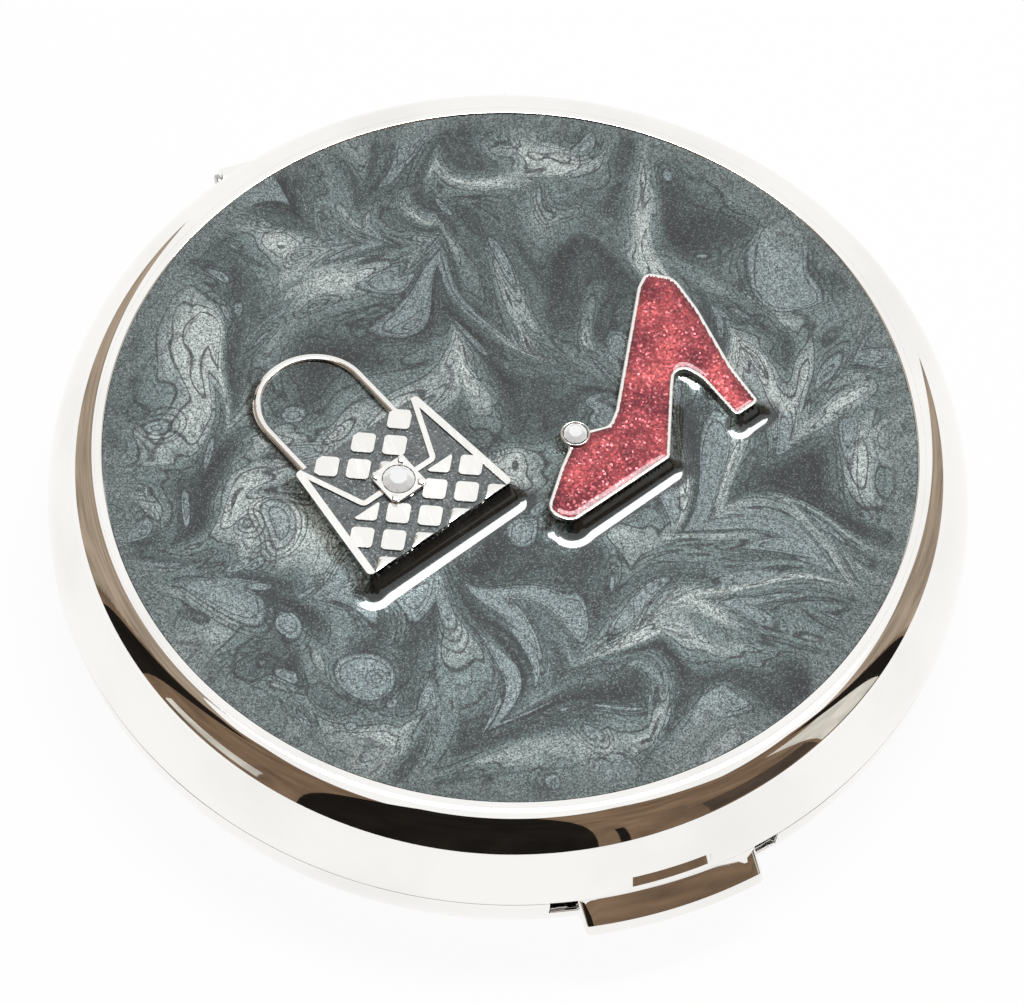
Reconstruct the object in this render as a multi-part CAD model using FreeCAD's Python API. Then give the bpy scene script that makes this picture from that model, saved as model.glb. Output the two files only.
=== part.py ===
"""A round compact mirror: an enamelled lid and a base on a three-knuckle hinge.

All sizes are in millimetres. The underside rests on z = 0, the push button
faces -Y and the hinge is at +Y. The two charms are drawn upright in the top
plate's own frame, and the plate is turned a little when it is set in the lid.
"""

import FreeCAD
import Part
import math
import os

from FreeCAD import Vector

# Case
CASE_DIAMETER = 66.0
BASE_DEPTH = 6.4  # underside to the parting plane
LID_HEIGHT = 6.85  # parting plane to the rim of the top plate
SHOULDER_RUN = 3.7  # how far the rounded side reaches in over top and bottom
SHELL_WALL = 0.7
PARTING_GAP = 0.16

# Fits
GLUE_FIT = 0.03  # around poured enamel, stones and glued pieces
PLATE_CLEARANCE = 0.05
FRAME_CLEARANCE = 0.2
MIRROR_CLEARANCE = 0.15
PIN_CLEARANCE = 0.05
BARREL_CLEARANCE = 0.3
BUTTON_CLEARANCE = 0.15
TOLERANCE = 1e-3  # for telling edges apart
SMALLEST_CORNER = 0.05

# Top plate and its poured field
PLATE_THICKNESS = 1.25
PLATE_FLOOR = 0.5
PLATE_RIM_WIDTH = 0.55
PLATE_TURN = 19.3  # degrees, as the plate sits in the photographed lid
FIELD_DROP = 0.35  # field surface below the rim
RIM_MENISCUS = 2.0  # how far in the enamel climbs to the rim
CHARM_MENISCUS = 0.5  # fillet of enamel round the charms

# Mirrors in their trays
FLANGE_WIDTH = 5.95
FLANGE_THICKNESS = 0.8
TRAY_WALL = 0.8
TRAY_FLOOR = 0.6
MIRROR_THICKNESS = 1.7
MIRROR_RECESS = 0.4
PAD_THICKNESS = 0.5
PAD_MARGIN = 1.0
MAGNIFIER_RADIUS = 600.0

# Hinge
HINGE_INSET = 0.5  # axis inside the case outline
HINGE_LENGTH = 23.0
LID_KNUCKLE_LENGTH = 11.0
KNUCKLE_GAP = 0.2
BARREL_DIAMETER = 2.4
PIN_DIAMETER = 1.0
PIN_HEAD_DIAMETER = 1.7
PIN_HEAD_LENGTH = 0.35
WEB_REACH = 2.2  # solder web, out from the hinge axis

# Push button
BUTTON_WIDTH = 12.8
BUTTON_HEIGHT = 1.45
BUTTON_DROP = 0.1  # button top below the parting plane
BUTTON_PROJECTION = 1.9
BUTTON_CORNER = 1.0
BUTTON_NOSE = 0.35
BUTTON_PLATE_DEPTH = 4.1  # inner plate, in from the inside of the wall
WING_WIDTH = 2.0
WING_DEPTH = 1.9
WING_HEIGHT = 0.6
WING_SETBACK = 1.4  # from the inside of the wall
GUIDE_WIDTH = 5.0
GUIDE_DEPTH = 2.2

# Catch
HOOK_WIDTH = 4.0
HOOK_THICKNESS = 0.8
HOOK_SETBACK = 1.1  # shank behind the inside of the wall
HOOK_REACH = 2.8  # tip below the parting plane
HOOK_TIP_DEPTH = 0.8
HOOK_TIP_HEIGHT = 0.8
HOOK_TIP_LAND = 0.2
HOOK_FOOT_WIDTH = 7.4
HOOK_FOOT_DEPTH = 3.0
HOOK_FOOT_THICKNESS = 0.5
HOOK_SLIT_CLEARANCE = 0.2
SLOT_CLEARANCE = 0.6
SLOT_RUN = 3.1
RIVET_DIAMETER = 0.8
RIVET_HEAD_DIAMETER = 1.5
RIVET_HEAD_HEIGHT = 0.3
SPRING_THICKNESS = 0.25
SPRING_HEIGHT = 2.0
SPRING_LENGTH = 12.4
SPRING_BOW = 1.45
SPRING_GAP = 0.03
NOSE_WIDTH = 3.4
NOSE_REACH = 1.8
TAB_WIDTH = 5.9  # tab pressed in from the lid's wall above the button
TAB_HEIGHT = 1.2
TAB_DEPTH = 1.0
TAB_WALL = 0.6
TAB_RISE = 0.75  # lower edge above the parting plane

# Handbag charm, drawn in the plate's frame
BAG_CENTRE_X = -8.8
BAG_BOTTOM_Y = -3.3
BAG_BOTTOM_WIDTH = 12.6
BAG_TOP_WIDTH = 10.7
BAG_HEIGHT = 9.75
BAG_RISE = 1.25  # charm top above the field
BAG_RELIEF = 0.4  # groove depth
BAG_BORDER = 0.55  # plain strip down each side
BAG_CORNER = 0.35
FLAP_RIB = 0.4
FLAP_BOTTOM = 4.85  # flap's lower edge above the bag's bottom
FLAP_BOTTOM_WIDTH = 6.1
QUILT_PITCH_X = 3.2
QUILT_PITCH_Y = 3.04
QUILT_GROOVE = 0.6
QUILT_CORNER = 0.3
QUILT_SCRAP = 0.3  # trimmed lozenges of less area are left out
FLAP_SCRAP = 1.0
BODY_ROW = 1.28  # first row of lozenges above the bag's bottom
FLAP_ROW = 8.88  # last row of lozenges on the flap
GROOVE_FILL = 0.25
HANDLE_SHIFT = -0.2  # off the bag's middle
HANDLE_WIDTH = 7.65  # between the legs' centre lines
HANDLE_HEIGHT = 8.5
HANDLE_WIRE = 0.5
HANDLE_RISE = 0.6
SETTING_SIDE = 2.9
SETTING_RISE = 0.25
CLAW_DIAMETER = 0.54  # round claw on each corner of the mount
CLAW_INSET = 0.32
CLAW_RISE = 0.2
BAG_STONE_DIAMETER = 2.3

# Shoe charm, drawn in the plate's frame
SHOE_RISE = 0.85
SHOE_WALL = 0.32
SHOE_FLOOR = 0.5
SHOE_FILL_DROP = 0.06
SHOE_CUP_DIAMETER = 2.1
SHOE_CUP_RISE = 0.2
SHOE_CUP_CENTRE = (3.5, -2.85)
SHOE_STONE_DIAMETER = 1.7
SHOE_OUTLINE = (  # x, y, corner radius
    (15.05, 4.2, 0.4),
    (16.35, 4.9, 0.7),
    (17.75, 3.3, 1.6),
    (17.3, 0.1, 6.0),
    (15.95, -5.2, 8.0),
    (15.6, -8.6, 0.4),
    (13.5, -8.6, 0.4),
    (13.65, -4.6, 2.0),
    (13.0, -2.55, 0.7),
    (11.5, -4.05, 2.5),
    (7.6, -8.35, 0.5),
    (-1.3, -8.3, 1.2),
    (-2.1, -6.5, 1.0),
    (1.0, -4.3, 4.0),
    (3.6, -2.75, 0.5),
    (5.9, -3.7, 0.8),
    (7.1, -2.95, 1.0),
)

# Stone proportions, as shares of the stone's diameter
STONE_FACETS = 12
STONE_TABLE = 0.58
STONE_CULET = 0.1
STONE_CROWN = 0.16
STONE_PAVILION = 0.3

# Levels and radii worked out from the sizes above
CASE_RADIUS = CASE_DIAMETER / 2
RIM_RADIUS = CASE_RADIUS - SHOULDER_RUN
INNER_RADIUS = CASE_RADIUS - SHELL_WALL
RIM_Z = BASE_DEPTH + LID_HEIGHT
SEAT_Z = RIM_Z - PLATE_THICKNESS
FLOOR_Z = SEAT_Z + PLATE_FLOOR
FIELD_Z = RIM_Z - FIELD_DROP
BAG_TOP_Z = FIELD_Z + BAG_RISE
SHOE_TOP_Z = FIELD_Z + SHOE_RISE
PLATE_RADIUS = RIM_RADIUS - PLATE_CLEARANCE
FIELD_RADIUS = PLATE_RADIUS - PLATE_RIM_WIDTH - GLUE_FIT
BASE_EDGE_Z = BASE_DEPTH - PARTING_GAP / 2
LID_EDGE_Z = BASE_DEPTH + PARTING_GAP / 2
FLANGE_RADIUS = INNER_RADIUS - FRAME_CLEARANCE
TRAY_RADIUS = FLANGE_RADIUS - FLANGE_WIDTH
TRAY_OUTER_RADIUS = TRAY_RADIUS + TRAY_WALL
MIRROR_RADIUS = TRAY_RADIUS - MIRROR_CLEARANCE
HINGE_Y = CASE_RADIUS - HINGE_INSET
BARREL_RADIUS = BARREL_DIAMETER / 2
BUTTON_TOP_Z = BASE_DEPTH - BUTTON_DROP
BUTTON_BOTTOM_Z = BUTTON_TOP_Z - BUTTON_HEIGHT
BUTTON_INNER_Y = -INNER_RADIUS + BUTTON_PLATE_DEPTH
HOOK_OUTER_Y = -INNER_RADIUS + HOOK_SETBACK
HOOK_INNER_Y = HOOK_OUTER_Y + HOOK_THICKNESS
HOOK_BOTTOM_Z = BASE_DEPTH - HOOK_REACH
HOOK_LEDGE_Z = HOOK_BOTTOM_Z + HOOK_TIP_HEIGHT
TAB_LOW_Z = BASE_DEPTH + TAB_RISE
TAB_HIGH_Z = TAB_LOW_Z + TAB_HEIGHT
X_AXIS = Vector(1, 0, 0)
Z_AXIS = Vector(0, 0, 1)


def block(x0, x1, y0, y1, z0, z1):
    """A box between two corners."""
    return Part.makeBox(x1 - x0, y1 - y0, z1 - z0, Vector(x0, y0, z0))


def disc(radius, z0, z1, x=0.0, y=0.0):
    """An upright cylinder between two levels."""
    return Part.makeCylinder(radius, z1 - z0, Vector(x, y, z0))


def round_bar(radius, x0, x1):
    """A cylinder on the hinge axis between two stations along it."""
    return Part.makeCylinder(radius, x1 - x0, Vector(x0, HINGE_Y, BASE_DEPTH), X_AXIS)


def lathe(points):
    """Turn a closed outline of (radius, z) points about Z."""
    corners = [Vector(r, 0, z) for r, z in points]
    face = Part.Face(Part.makePolygon(corners + corners[:1]))
    return face.revolve(Vector(), Z_AXIS, 360)


def front_sector(points, width):
    """Turn an outline of (radius, z) points about Z over a width at the case's front."""
    turn = math.degrees(width / CASE_RADIUS)
    corners = [Vector(0, -r, z) for r, z in points]
    face = Part.Face(Part.makePolygon(corners + corners[:1]))
    face.rotate(Vector(), Z_AXIS, -turn / 2)
    return face.revolve(Vector(), Z_AXIS, turn)


def quarter_ellipse(centre, run, rise):
    """A quarter ellipse in the XZ plane, from `rise` along Z to `run` along X."""
    top = centre + Vector(0, 0, rise)
    side = centre + Vector(run, 0, 0)
    ends = (top, side) if abs(rise) >= abs(run) else (side, top)
    return Part.ArcOfEllipse(Part.Ellipse(*ends, centre), 0, math.pi / 2).toShape()


def bowl(radius, flat_radius, flat_z, edge_z):
    """A solid with a flat face at flat_z and a rounded side out to edge_z."""
    centre = Vector(flat_radius, 0, edge_z)
    corners = [
        Vector(radius, 0, edge_z),
        Vector(0, 0, edge_z),
        Vector(0, 0, flat_z),
        Vector(flat_radius, 0, flat_z),
    ]
    edges = [Part.makeLine(a, b) for a, b in zip(corners, corners[1:])]
    edges.append(quarter_ellipse(centre, radius - flat_radius, flat_z - edge_z))
    face = Part.Face(Part.Wire(Part.__sortEdges__(edges)))
    return face.revolve(Vector(), Z_AXIS, 360)


def inset(corners, distance):
    """Move an anticlockwise or clockwise outline inwards, or out if negative."""
    points = [Vector(x, y, 0) for x, y, _ in corners]
    count = len(points)
    area = sum(points[i - 1].x * points[i].y - points[i].x * points[i - 1].y for i in range(count))
    side = distance if area > 0 else -distance
    moved = []
    for i, (x, y, radius) in enumerate(corners):
        before = (points[i] - points[i - 1]).normalize()
        after = (points[(i + 1) % count] - points[i]).normalize()
        cross = before.x * after.y - before.y * after.x
        half = math.sqrt((1 + before.dot(after)) / 2)
        across = Vector(-before.y - after.y, before.x + after.x, 0).normalize()
        corner = points[i] + across * (side / half)
        turn = distance if cross * area > 0 else -distance
        moved.append((corner.x, corner.y, max(radius - turn, SMALLEST_CORNER)))
    return moved


def outline_wire(corners, z):
    """A closed wire through (x, y, radius) corners, each rounded by its radius."""
    points = [Vector(x, y, z) for x, y, _ in corners]
    count = len(points)
    arcs = []
    for i, (_, _, radius) in enumerate(corners):
        back = (points[i - 1] - points[i]).normalize()
        on = (points[(i + 1) % count] - points[i]).normalize()
        half = back.getAngle(on) / 2
        trim = radius / math.tan(half)
        inward = (back + on).normalize()
        middle = points[i] + inward * (radius / math.sin(half) - radius)
        arcs.append((points[i] + back * trim, middle, points[i] + on * trim))
    edges = []
    for i, (start, middle, end) in enumerate(arcs):
        edges.append(Part.makeLine(arcs[i - 1][2], start))
        edges.append(Part.Arc(start, middle, end).toShape())
    return Part.Wire(edges)


def prism(corners, z0, z1):
    """A straight-sided solid on a rounded outline."""
    return Part.Face(outline_wire(corners, z0)).extrude(Vector(0, 0, z1 - z0))


def set_in_lid(shape):
    """Turn a shape from the plate's frame into the lid's."""
    turned = shape.copy()
    turned.rotate(Vector(), Z_AXIS, PLATE_TURN)
    return turned


def hinge_notch():
    """Room for the hinge barrel and its pin heads in either shell."""
    half = HINGE_LENGTH / 2 + PIN_HEAD_LENGTH + BARREL_CLEARANCE
    return round_bar(BARREL_RADIUS + BARREL_CLEARANCE, -half, half)


def hinge_flange_cut():
    """The straight cut in a mirror frame's flange in front of the hinge."""
    half = HINGE_LENGTH / 2 + PIN_HEAD_LENGTH + BARREL_CLEARANCE
    y0 = HINGE_Y - WEB_REACH - BARREL_CLEARANCE
    return block(-half, half, y0, CASE_RADIUS, 0, RIM_Z)


def base_outside():
    """The base's outer form, up to its edge."""
    return bowl(CASE_RADIUS, RIM_RADIUS, 0, BASE_EDGE_Z)


def lid_outside():
    """The lid's outer form, down to its edge."""
    return bowl(CASE_RADIUS, RIM_RADIUS, RIM_Z, LID_EDGE_Z)


def base_cavity(clearance):
    """The space inside the base shell, less a clearance all round."""
    wall = SHELL_WALL + clearance
    return bowl(CASE_RADIUS - wall, RIM_RADIUS, wall, BASE_EDGE_Z)


def make_base_shell():
    """Pressed bowl with a notch for the hinge and one for the push button."""
    shell = base_outside().cut(base_cavity(0))
    half = BUTTON_WIDTH / 2 + BUTTON_CLEARANCE
    notch_z = BUTTON_BOTTOM_Z - BUTTON_CLEARANCE
    button_notch = block(-half, half, -CASE_RADIUS, -RIM_RADIUS, notch_z, BASE_DEPTH)
    return shell.cut(hinge_notch()).cut(button_notch)


def tab_dent():
    """The dent that pressing the tab leaves in the lid's wall, deepest at its top."""
    back = CASE_RADIUS - TAB_DEPTH
    return front_sector([(CASE_RADIUS, TAB_LOW_Z), (back, TAB_HIGH_Z), (CASE_RADIUS, TAB_HIGH_Z)], TAB_WIDTH)


def tab_bulge():
    """The metal behind the dent, inside the lid."""
    front = CASE_RADIUS - TAB_WALL
    back = front - TAB_DEPTH
    top_z = TAB_HIGH_Z + TAB_WALL
    side = [(front, TAB_LOW_Z), (back, TAB_HIGH_Z), (back, top_z), (front, top_z)]
    return front_sector(side, TAB_WIDTH + 2 * TAB_WALL)


def make_lid_shell():
    """Pressed lid with a recess for the top plate, a notch for the hinge and a catch tab."""
    inside = bowl(INNER_RADIUS, RIM_RADIUS, SEAT_Z - SHELL_WALL, LID_EDGE_Z)
    recess = disc(RIM_RADIUS, SEAT_Z, RIM_Z)
    shell = lid_outside().cut(inside).cut(recess).cut(hinge_notch())
    return shell.fuse(tab_bulge()).cut(tab_dent()).removeSplitter()


def mirror_frame(face_z, up):
    """Flange, tray wall and tray floor, with its open face at face_z."""
    flange_z = face_z - up * FLANGE_THICKNESS
    seat_z = face_z - up * (MIRROR_RECESS + MIRROR_THICKNESS + PAD_THICKNESS)
    under_z = seat_z - up * TRAY_FLOOR
    foot_z = SHELL_WALL if up > 0 else SEAT_Z - SHELL_WALL
    return lathe(
        [
            (0, seat_z),
            (TRAY_RADIUS, seat_z),
            (TRAY_RADIUS, face_z),
            (FLANGE_RADIUS, face_z),
            (FLANGE_RADIUS, flange_z),
            (TRAY_OUTER_RADIUS, flange_z),
            (TRAY_OUTER_RADIUS, foot_z),
            (TRAY_RADIUS, foot_z),
            (TRAY_RADIUS, under_z),
            (0, under_z),
        ]
    )


def make_base_mirror_frame():
    """Base tray, its flange open at the button and cut straight at the hinge."""
    half = BUTTON_WIDTH / 2 + 2 * BUTTON_CLEARANCE
    flange_z = BASE_DEPTH - FLANGE_THICKNESS
    window = block(-half, half, -CASE_RADIUS, 0, flange_z, BASE_DEPTH)
    window = window.cut(disc(TRAY_OUTER_RADIUS, 0, RIM_Z))
    return mirror_frame(BASE_DEPTH, 1).cut(hinge_flange_cut()).cut(window)


def rivet_places():
    """Where the hook's foot is riveted to the lid frame's flange."""
    x = (HOOK_FOOT_WIDTH - RIVET_HEAD_DIAMETER) / 2
    y = HOOK_OUTER_Y + HOOK_FOOT_DEPTH - RIVET_HEAD_DIAMETER / 2
    return [(-x, y), (x, y)]


def make_lid_mirror_frame():
    """Lid tray, its flange slit for the hook and drilled for two rivets."""
    frame = mirror_frame(BASE_DEPTH, -1).cut(hinge_flange_cut())
    half = HOOK_WIDTH / 2 + HOOK_SLIT_CLEARANCE
    top_z = BASE_DEPTH + FLANGE_THICKNESS
    y0 = HOOK_OUTER_Y - HOOK_SLIT_CLEARANCE
    y1 = HOOK_INNER_Y + HOOK_SLIT_CLEARANCE
    frame = frame.cut(block(-half, half, y0, y1, BASE_DEPTH, top_z))
    for x, y in rivet_places():
        hole = disc(RIVET_DIAMETER / 2 + GLUE_FIT, BASE_DEPTH, top_z, x, y)
        frame = frame.cut(hole)
    return frame


def make_base_mirror():
    """Magnifying glass: a disc with a shallow hollow ground in its top."""
    top_z = BASE_DEPTH - MIRROR_RECESS
    glass = disc(MIRROR_RADIUS, top_z - MIRROR_THICKNESS, top_z)
    rise = math.sqrt(MAGNIFIER_RADIUS**2 - MIRROR_RADIUS**2)
    hollow = Part.makeSphere(MAGNIFIER_RADIUS, Vector(0, 0, top_z + rise))
    return glass.cut(hollow)


def make_lid_mirror():
    """Plain round glass facing down out of the lid."""
    face_z = BASE_DEPTH + MIRROR_RECESS
    return disc(MIRROR_RADIUS, face_z, face_z + MIRROR_THICKNESS)


def mirror_pad(glass_back_z, up):
    """Sticky foam disc between a glass and its tray."""
    far_z = glass_back_z - up * PAD_THICKNESS
    low, high = sorted((glass_back_z, far_z))
    return disc(MIRROR_RADIUS - PAD_MARGIN, low, high)


def knuckle(x0, x1, up):
    """A length of barrel with a quarter web that joins it to its shell from inside."""
    barrel = round_bar(BARREL_RADIUS, x0, x1)
    web = round_bar(WEB_REACH, x0, x1)
    z0 = BASE_DEPTH + KNUCKLE_GAP if up else BASE_DEPTH - WEB_REACH
    z1 = BASE_DEPTH + WEB_REACH if up else BASE_DEPTH - KNUCKLE_GAP
    web = web.common(block(x0, x1, HINGE_Y - WEB_REACH, HINGE_Y, z0, z1))
    web = web.common(lid_outside() if up else base_outside())
    hole = round_bar(PIN_DIAMETER / 2 + PIN_CLEARANCE, x0, x1)
    return barrel.fuse(web).cut(hole).removeSplitter()


def make_lid_hinge_knuckle(lid_shell):
    """The middle knuckle, its web fitted to the lid shell."""
    half = LID_KNUCKLE_LENGTH / 2
    return knuckle(-half, half, True).cut(lid_shell)


def make_base_hinge_knuckles(base_shell):
    """The two end knuckles, their webs fitted to the base shell."""
    inner = LID_KNUCKLE_LENGTH / 2 + KNUCKLE_GAP
    outer = HINGE_LENGTH / 2
    ends = [knuckle(-outer, -inner, False), knuckle(inner, outer, False)]
    return Part.makeCompound([end.cut(base_shell) for end in ends])


def make_hinge_pin():
    """Pin through all three knuckles with a riveted head at each end."""
    half = HINGE_LENGTH / 2 + KNUCKLE_GAP / 2
    pin = round_bar(PIN_DIAMETER / 2, -half, half)
    far = half + PIN_HEAD_LENGTH
    heads = [round_bar(PIN_HEAD_DIAMETER / 2, half, far)]
    heads.append(round_bar(PIN_HEAD_DIAMETER / 2, -far, -half))
    return pin.multiFuse(heads)


def make_push_button():
    """Curved thumb bar with an inner plate, slotted for the hook, and two wings."""
    half = BUTTON_WIDTH / 2
    radius = CASE_RADIUS + BUTTON_PROJECTION
    bar = disc(radius, BUTTON_BOTTOM_Z, BUTTON_TOP_Z)
    span = block(-half, half, -radius, BUTTON_INNER_Y, BUTTON_BOTTOM_Z, BUTTON_TOP_Z)
    bar = bar.common(span)
    corners = [e for e in bar.Edges if abs(e.tangentAt(e.FirstParameter).z) > 0.9]
    front = [e for e in corners if e.CenterOfMass.y < -CASE_RADIUS]
    bar = bar.makeFillet(BUTTON_CORNER, front)
    nose = [e for e in bar.Edges if e.CenterOfMass.z > BUTTON_TOP_Z - TOLERANCE]
    nose = [e for e in nose if e.Curve.TypeId == "Part::GeomCircle"]
    bar = bar.makeFillet(BUTTON_NOSE, nose)
    wing_y = -INNER_RADIUS + WING_SETBACK
    wing_z = BUTTON_BOTTOM_Z + WING_HEIGHT
    reach = half + WING_WIDTH
    wings = block(-reach, reach, wing_y, wing_y + WING_DEPTH, BUTTON_BOTTOM_Z, wing_z)
    slot_half = HOOK_WIDTH / 2 + SLOT_CLEARANCE
    slot_y = -INNER_RADIUS
    slot = block(-slot_half, slot_half, slot_y, slot_y + SLOT_RUN, BUTTON_BOTTOM_Z, BUTTON_TOP_Z)
    return bar.fuse(wings).cut(slot).removeSplitter()


def make_button_guides():
    """Two posts that stand on the base floor and carry the button's plate."""
    y0 = -INNER_RADIUS + WING_SETBACK
    top_z = BUTTON_BOTTOM_Z - BUTTON_CLEARANCE / 2
    outer = BUTTON_WIDTH / 2 + WING_WIDTH
    room = base_cavity(0)
    posts = []
    for x0 in (-outer, outer - GUIDE_WIDTH):
        post = block(x0, x0 + GUIDE_WIDTH, y0, y0 + GUIDE_DEPTH, 0, top_z)
        posts.append(post.common(room))
    return Part.makeCompound(posts)


def make_catch_spring():
    """Bowed strip behind the button with a nose over the hook's ledge."""
    half = SPRING_LENGTH / 2
    front_y = BUTTON_INNER_Y + SPRING_GAP
    back_y = front_y + SPRING_THICKNESS
    top_z = BUTTON_TOP_Z
    z0 = top_z - SPRING_HEIGHT
    sides = []
    for y in (front_y, back_y):
        ends = [Vector(x, y + SPRING_BOW, z0) for x in (-half, half)]
        sides.append(Part.Arc(ends[0], Vector(0, y, z0), ends[1]).toShape())
    front, back = sides
    caps = [Part.makeLine(front.Vertexes[i].Point, back.Vertexes[i].Point) for i in (0, 1)]
    face = Part.Face(Part.Wire(Part.__sortEdges__(sides + caps)))
    strip = face.extrude(Vector(0, 0, SPRING_HEIGHT))
    nose_z = HOOK_LEDGE_Z + SPRING_GAP
    x = NOSE_WIDTH / 2
    nose = block(-x, x, front_y - NOSE_REACH, back_y, nose_z, nose_z + SPRING_THICKNESS)
    return strip.fuse(nose).removeSplitter()


def make_catch_hook():
    """Bent strip on the lid frame's flange, its tip pointing in under the nose."""
    foot_z = BASE_DEPTH + FLANGE_THICKNESS
    head_z = foot_z + HOOK_FOOT_THICKNESS
    x = HOOK_WIDTH / 2
    tip_y = HOOK_INNER_Y + HOOK_TIP_DEPTH
    side = [
        Vector(-x, HOOK_OUTER_Y, head_z),
        Vector(-x, HOOK_OUTER_Y, HOOK_BOTTOM_Z),
        Vector(-x, HOOK_INNER_Y, HOOK_BOTTOM_Z),
        Vector(-x, tip_y, HOOK_LEDGE_Z - HOOK_TIP_LAND),
        Vector(-x, tip_y, HOOK_LEDGE_Z),
        Vector(-x, HOOK_INNER_Y, HOOK_LEDGE_Z),
        Vector(-x, HOOK_INNER_Y, head_z),
    ]
    shank = Part.Face(Part.makePolygon(side + side[:1])).extrude(Vector(HOOK_WIDTH, 0, 0))
    half = HOOK_FOOT_WIDTH / 2
    foot = block(-half, half, HOOK_OUTER_Y, HOOK_OUTER_Y + HOOK_FOOT_DEPTH, foot_z, head_z)
    hook = shank.fuse(foot).removeSplitter()
    for px, py in rivet_places():
        hook = hook.cut(disc(RIVET_DIAMETER / 2 + GLUE_FIT, foot_z, head_z, px, py))
    return hook


def make_hook_rivets():
    """Two rivets, flush with the flange and headed over the hook's foot."""
    head_z = BASE_DEPTH + FLANGE_THICKNESS + HOOK_FOOT_THICKNESS
    rivets = []
    for x, y in rivet_places():
        shank = disc(RIVET_DIAMETER / 2, BASE_DEPTH, head_z, x, y)
        head = disc(RIVET_HEAD_DIAMETER / 2, head_z, head_z + RIVET_HEAD_HEIGHT, x, y)
        rivets.append(shank.fuse(head))
    return Part.makeCompound(rivets)


def make_top_plate():
    """Round tray with a thin raised rim, glued into the lid's recess."""
    rim = PLATE_RADIUS - PLATE_RIM_WIDTH
    return disc(PLATE_RADIUS, SEAT_Z, RIM_Z).cut(disc(rim, FLOOR_Z, RIM_Z))


def bag_outline(grow=0.0):
    """The bag's trapezoid, grown outwards."""
    top_y = BAG_BOTTOM_Y + BAG_HEIGHT
    low = BAG_BOTTOM_WIDTH / 2
    high = BAG_TOP_WIDTH / 2
    corners = [
        (BAG_CENTRE_X - low, BAG_BOTTOM_Y, BAG_CORNER),
        (BAG_CENTRE_X + low, BAG_BOTTOM_Y, BAG_CORNER),
        (BAG_CENTRE_X + high, top_y, BAG_CORNER),
        (BAG_CENTRE_X - high, top_y, BAG_CORNER),
    ]
    return inset(corners, -grow)


def flap_outline(grow=0.0):
    """The flap on the rib's centre line, carried on past the bag's top, grown outwards."""
    low_y = BAG_BOTTOM_Y + FLAP_BOTTOM
    low = FLAP_BOTTOM_WIDTH / 2
    high = (BAG_TOP_WIDTH - BAG_BORDER) / 2
    drop = BAG_HEIGHT - FLAP_BOTTOM
    far = low + (high - low) * 2
    corners = [
        (BAG_CENTRE_X - low, low_y, BAG_CORNER),
        (BAG_CENTRE_X + low, low_y, BAG_CORNER),
        (BAG_CENTRE_X + far, low_y + 2 * drop, BAG_CORNER),
        (BAG_CENTRE_X - far, low_y + 2 * drop, BAG_CORNER),
    ]
    return inset(corners, -grow)


def bag_panel(grow=0.0):
    """The bag between its side strips, open at top and bottom, grown outwards."""
    low = BAG_BOTTOM_WIDTH / 2 - BAG_BORDER
    high = BAG_TOP_WIDTH / 2 - BAG_BORDER
    lean = (low - high) / BAG_HEIGHT
    reach = BAG_HEIGHT / 2
    low_y = BAG_BOTTOM_Y - reach
    high_y = BAG_BOTTOM_Y + BAG_HEIGHT + reach
    corners = [
        (BAG_CENTRE_X - low - lean * reach, low_y, BAG_CORNER),
        (BAG_CENTRE_X + low + lean * reach, low_y, BAG_CORNER),
        (BAG_CENTRE_X + high - lean * reach, high_y, BAG_CORNER),
        (BAG_CENTRE_X - high + lean * reach, high_y, BAG_CORNER),
    ]
    return inset(corners, -grow)


def setting_outline(grow=0.0):
    """The square mount of the clasp stone, grown outwards."""
    x, y = setting_centre()
    half = SETTING_SIDE / 2
    corners = [(x - half, y - half), (x + half, y - half), (x + half, y + half), (x - half, y + half)]
    return inset([(cx, cy, BAG_CORNER) for cx, cy in corners], -grow)


def setting_centre():
    """The clasp sits on the middle of the flap's lower edge."""
    return BAG_CENTRE_X, BAG_BOTTOM_Y + FLAP_BOTTOM


def handle_outline(grow):
    """A round-topped arch on the handle's centre line, grown outwards."""
    x = BAG_CENTRE_X + HANDLE_SHIFT
    y0 = BAG_BOTTOM_Y + BAG_HEIGHT / 2
    y1 = BAG_BOTTOM_Y + BAG_HEIGHT + HANDLE_HEIGHT + grow
    half = HANDLE_WIDTH / 2 + grow
    foot = SMALLEST_CORNER
    bend = half - foot
    return [(x - half, y0, foot), (x + half, y0, foot), (x + half, y1, bend), (x - half, y1, bend)]


def handle_solid(z0, z1, grow=0.0):
    """The handle's arch as a raised band."""
    half = HANDLE_WIRE / 2 + grow
    arch = prism(handle_outline(half), z0, z1).cut(prism(handle_outline(-half), z0, z1))
    return arch.cut(prism(bag_outline(), z0, z1))


def lozenges(first_row, region, scrap, z0, z1, grow):
    """Quilted lozenges on a staggered grid, trimmed to a region."""
    half_x = QUILT_PITCH_X / 2 - QUILT_GROOVE / math.sqrt(2) + grow
    half_y = QUILT_PITCH_Y / 2 - QUILT_GROOVE / math.sqrt(2) + grow
    rows = round(BAG_HEIGHT / QUILT_PITCH_Y) * 2
    columns = round(BAG_BOTTOM_WIDTH / QUILT_PITCH_X) * 2
    found = []
    for j in range(-rows, rows + 1):
        for i in range(-columns, columns + 1):
            if (i + j) % 2:
                continue
            x = BAG_CENTRE_X + i * QUILT_PITCH_X / 2
            y = BAG_BOTTOM_Y + first_row + j * QUILT_PITCH_Y / 2
            corners = [(x - half_x, y), (x, y - half_y), (x + half_x, y), (x, y + half_y)]
            piece = prism([(cx, cy, QUILT_CORNER) for cx, cy in corners], z0, z1).common(region)
            if piece.Volume > scrap * (z1 - z0):
                found.append(piece)
    return found


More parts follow.
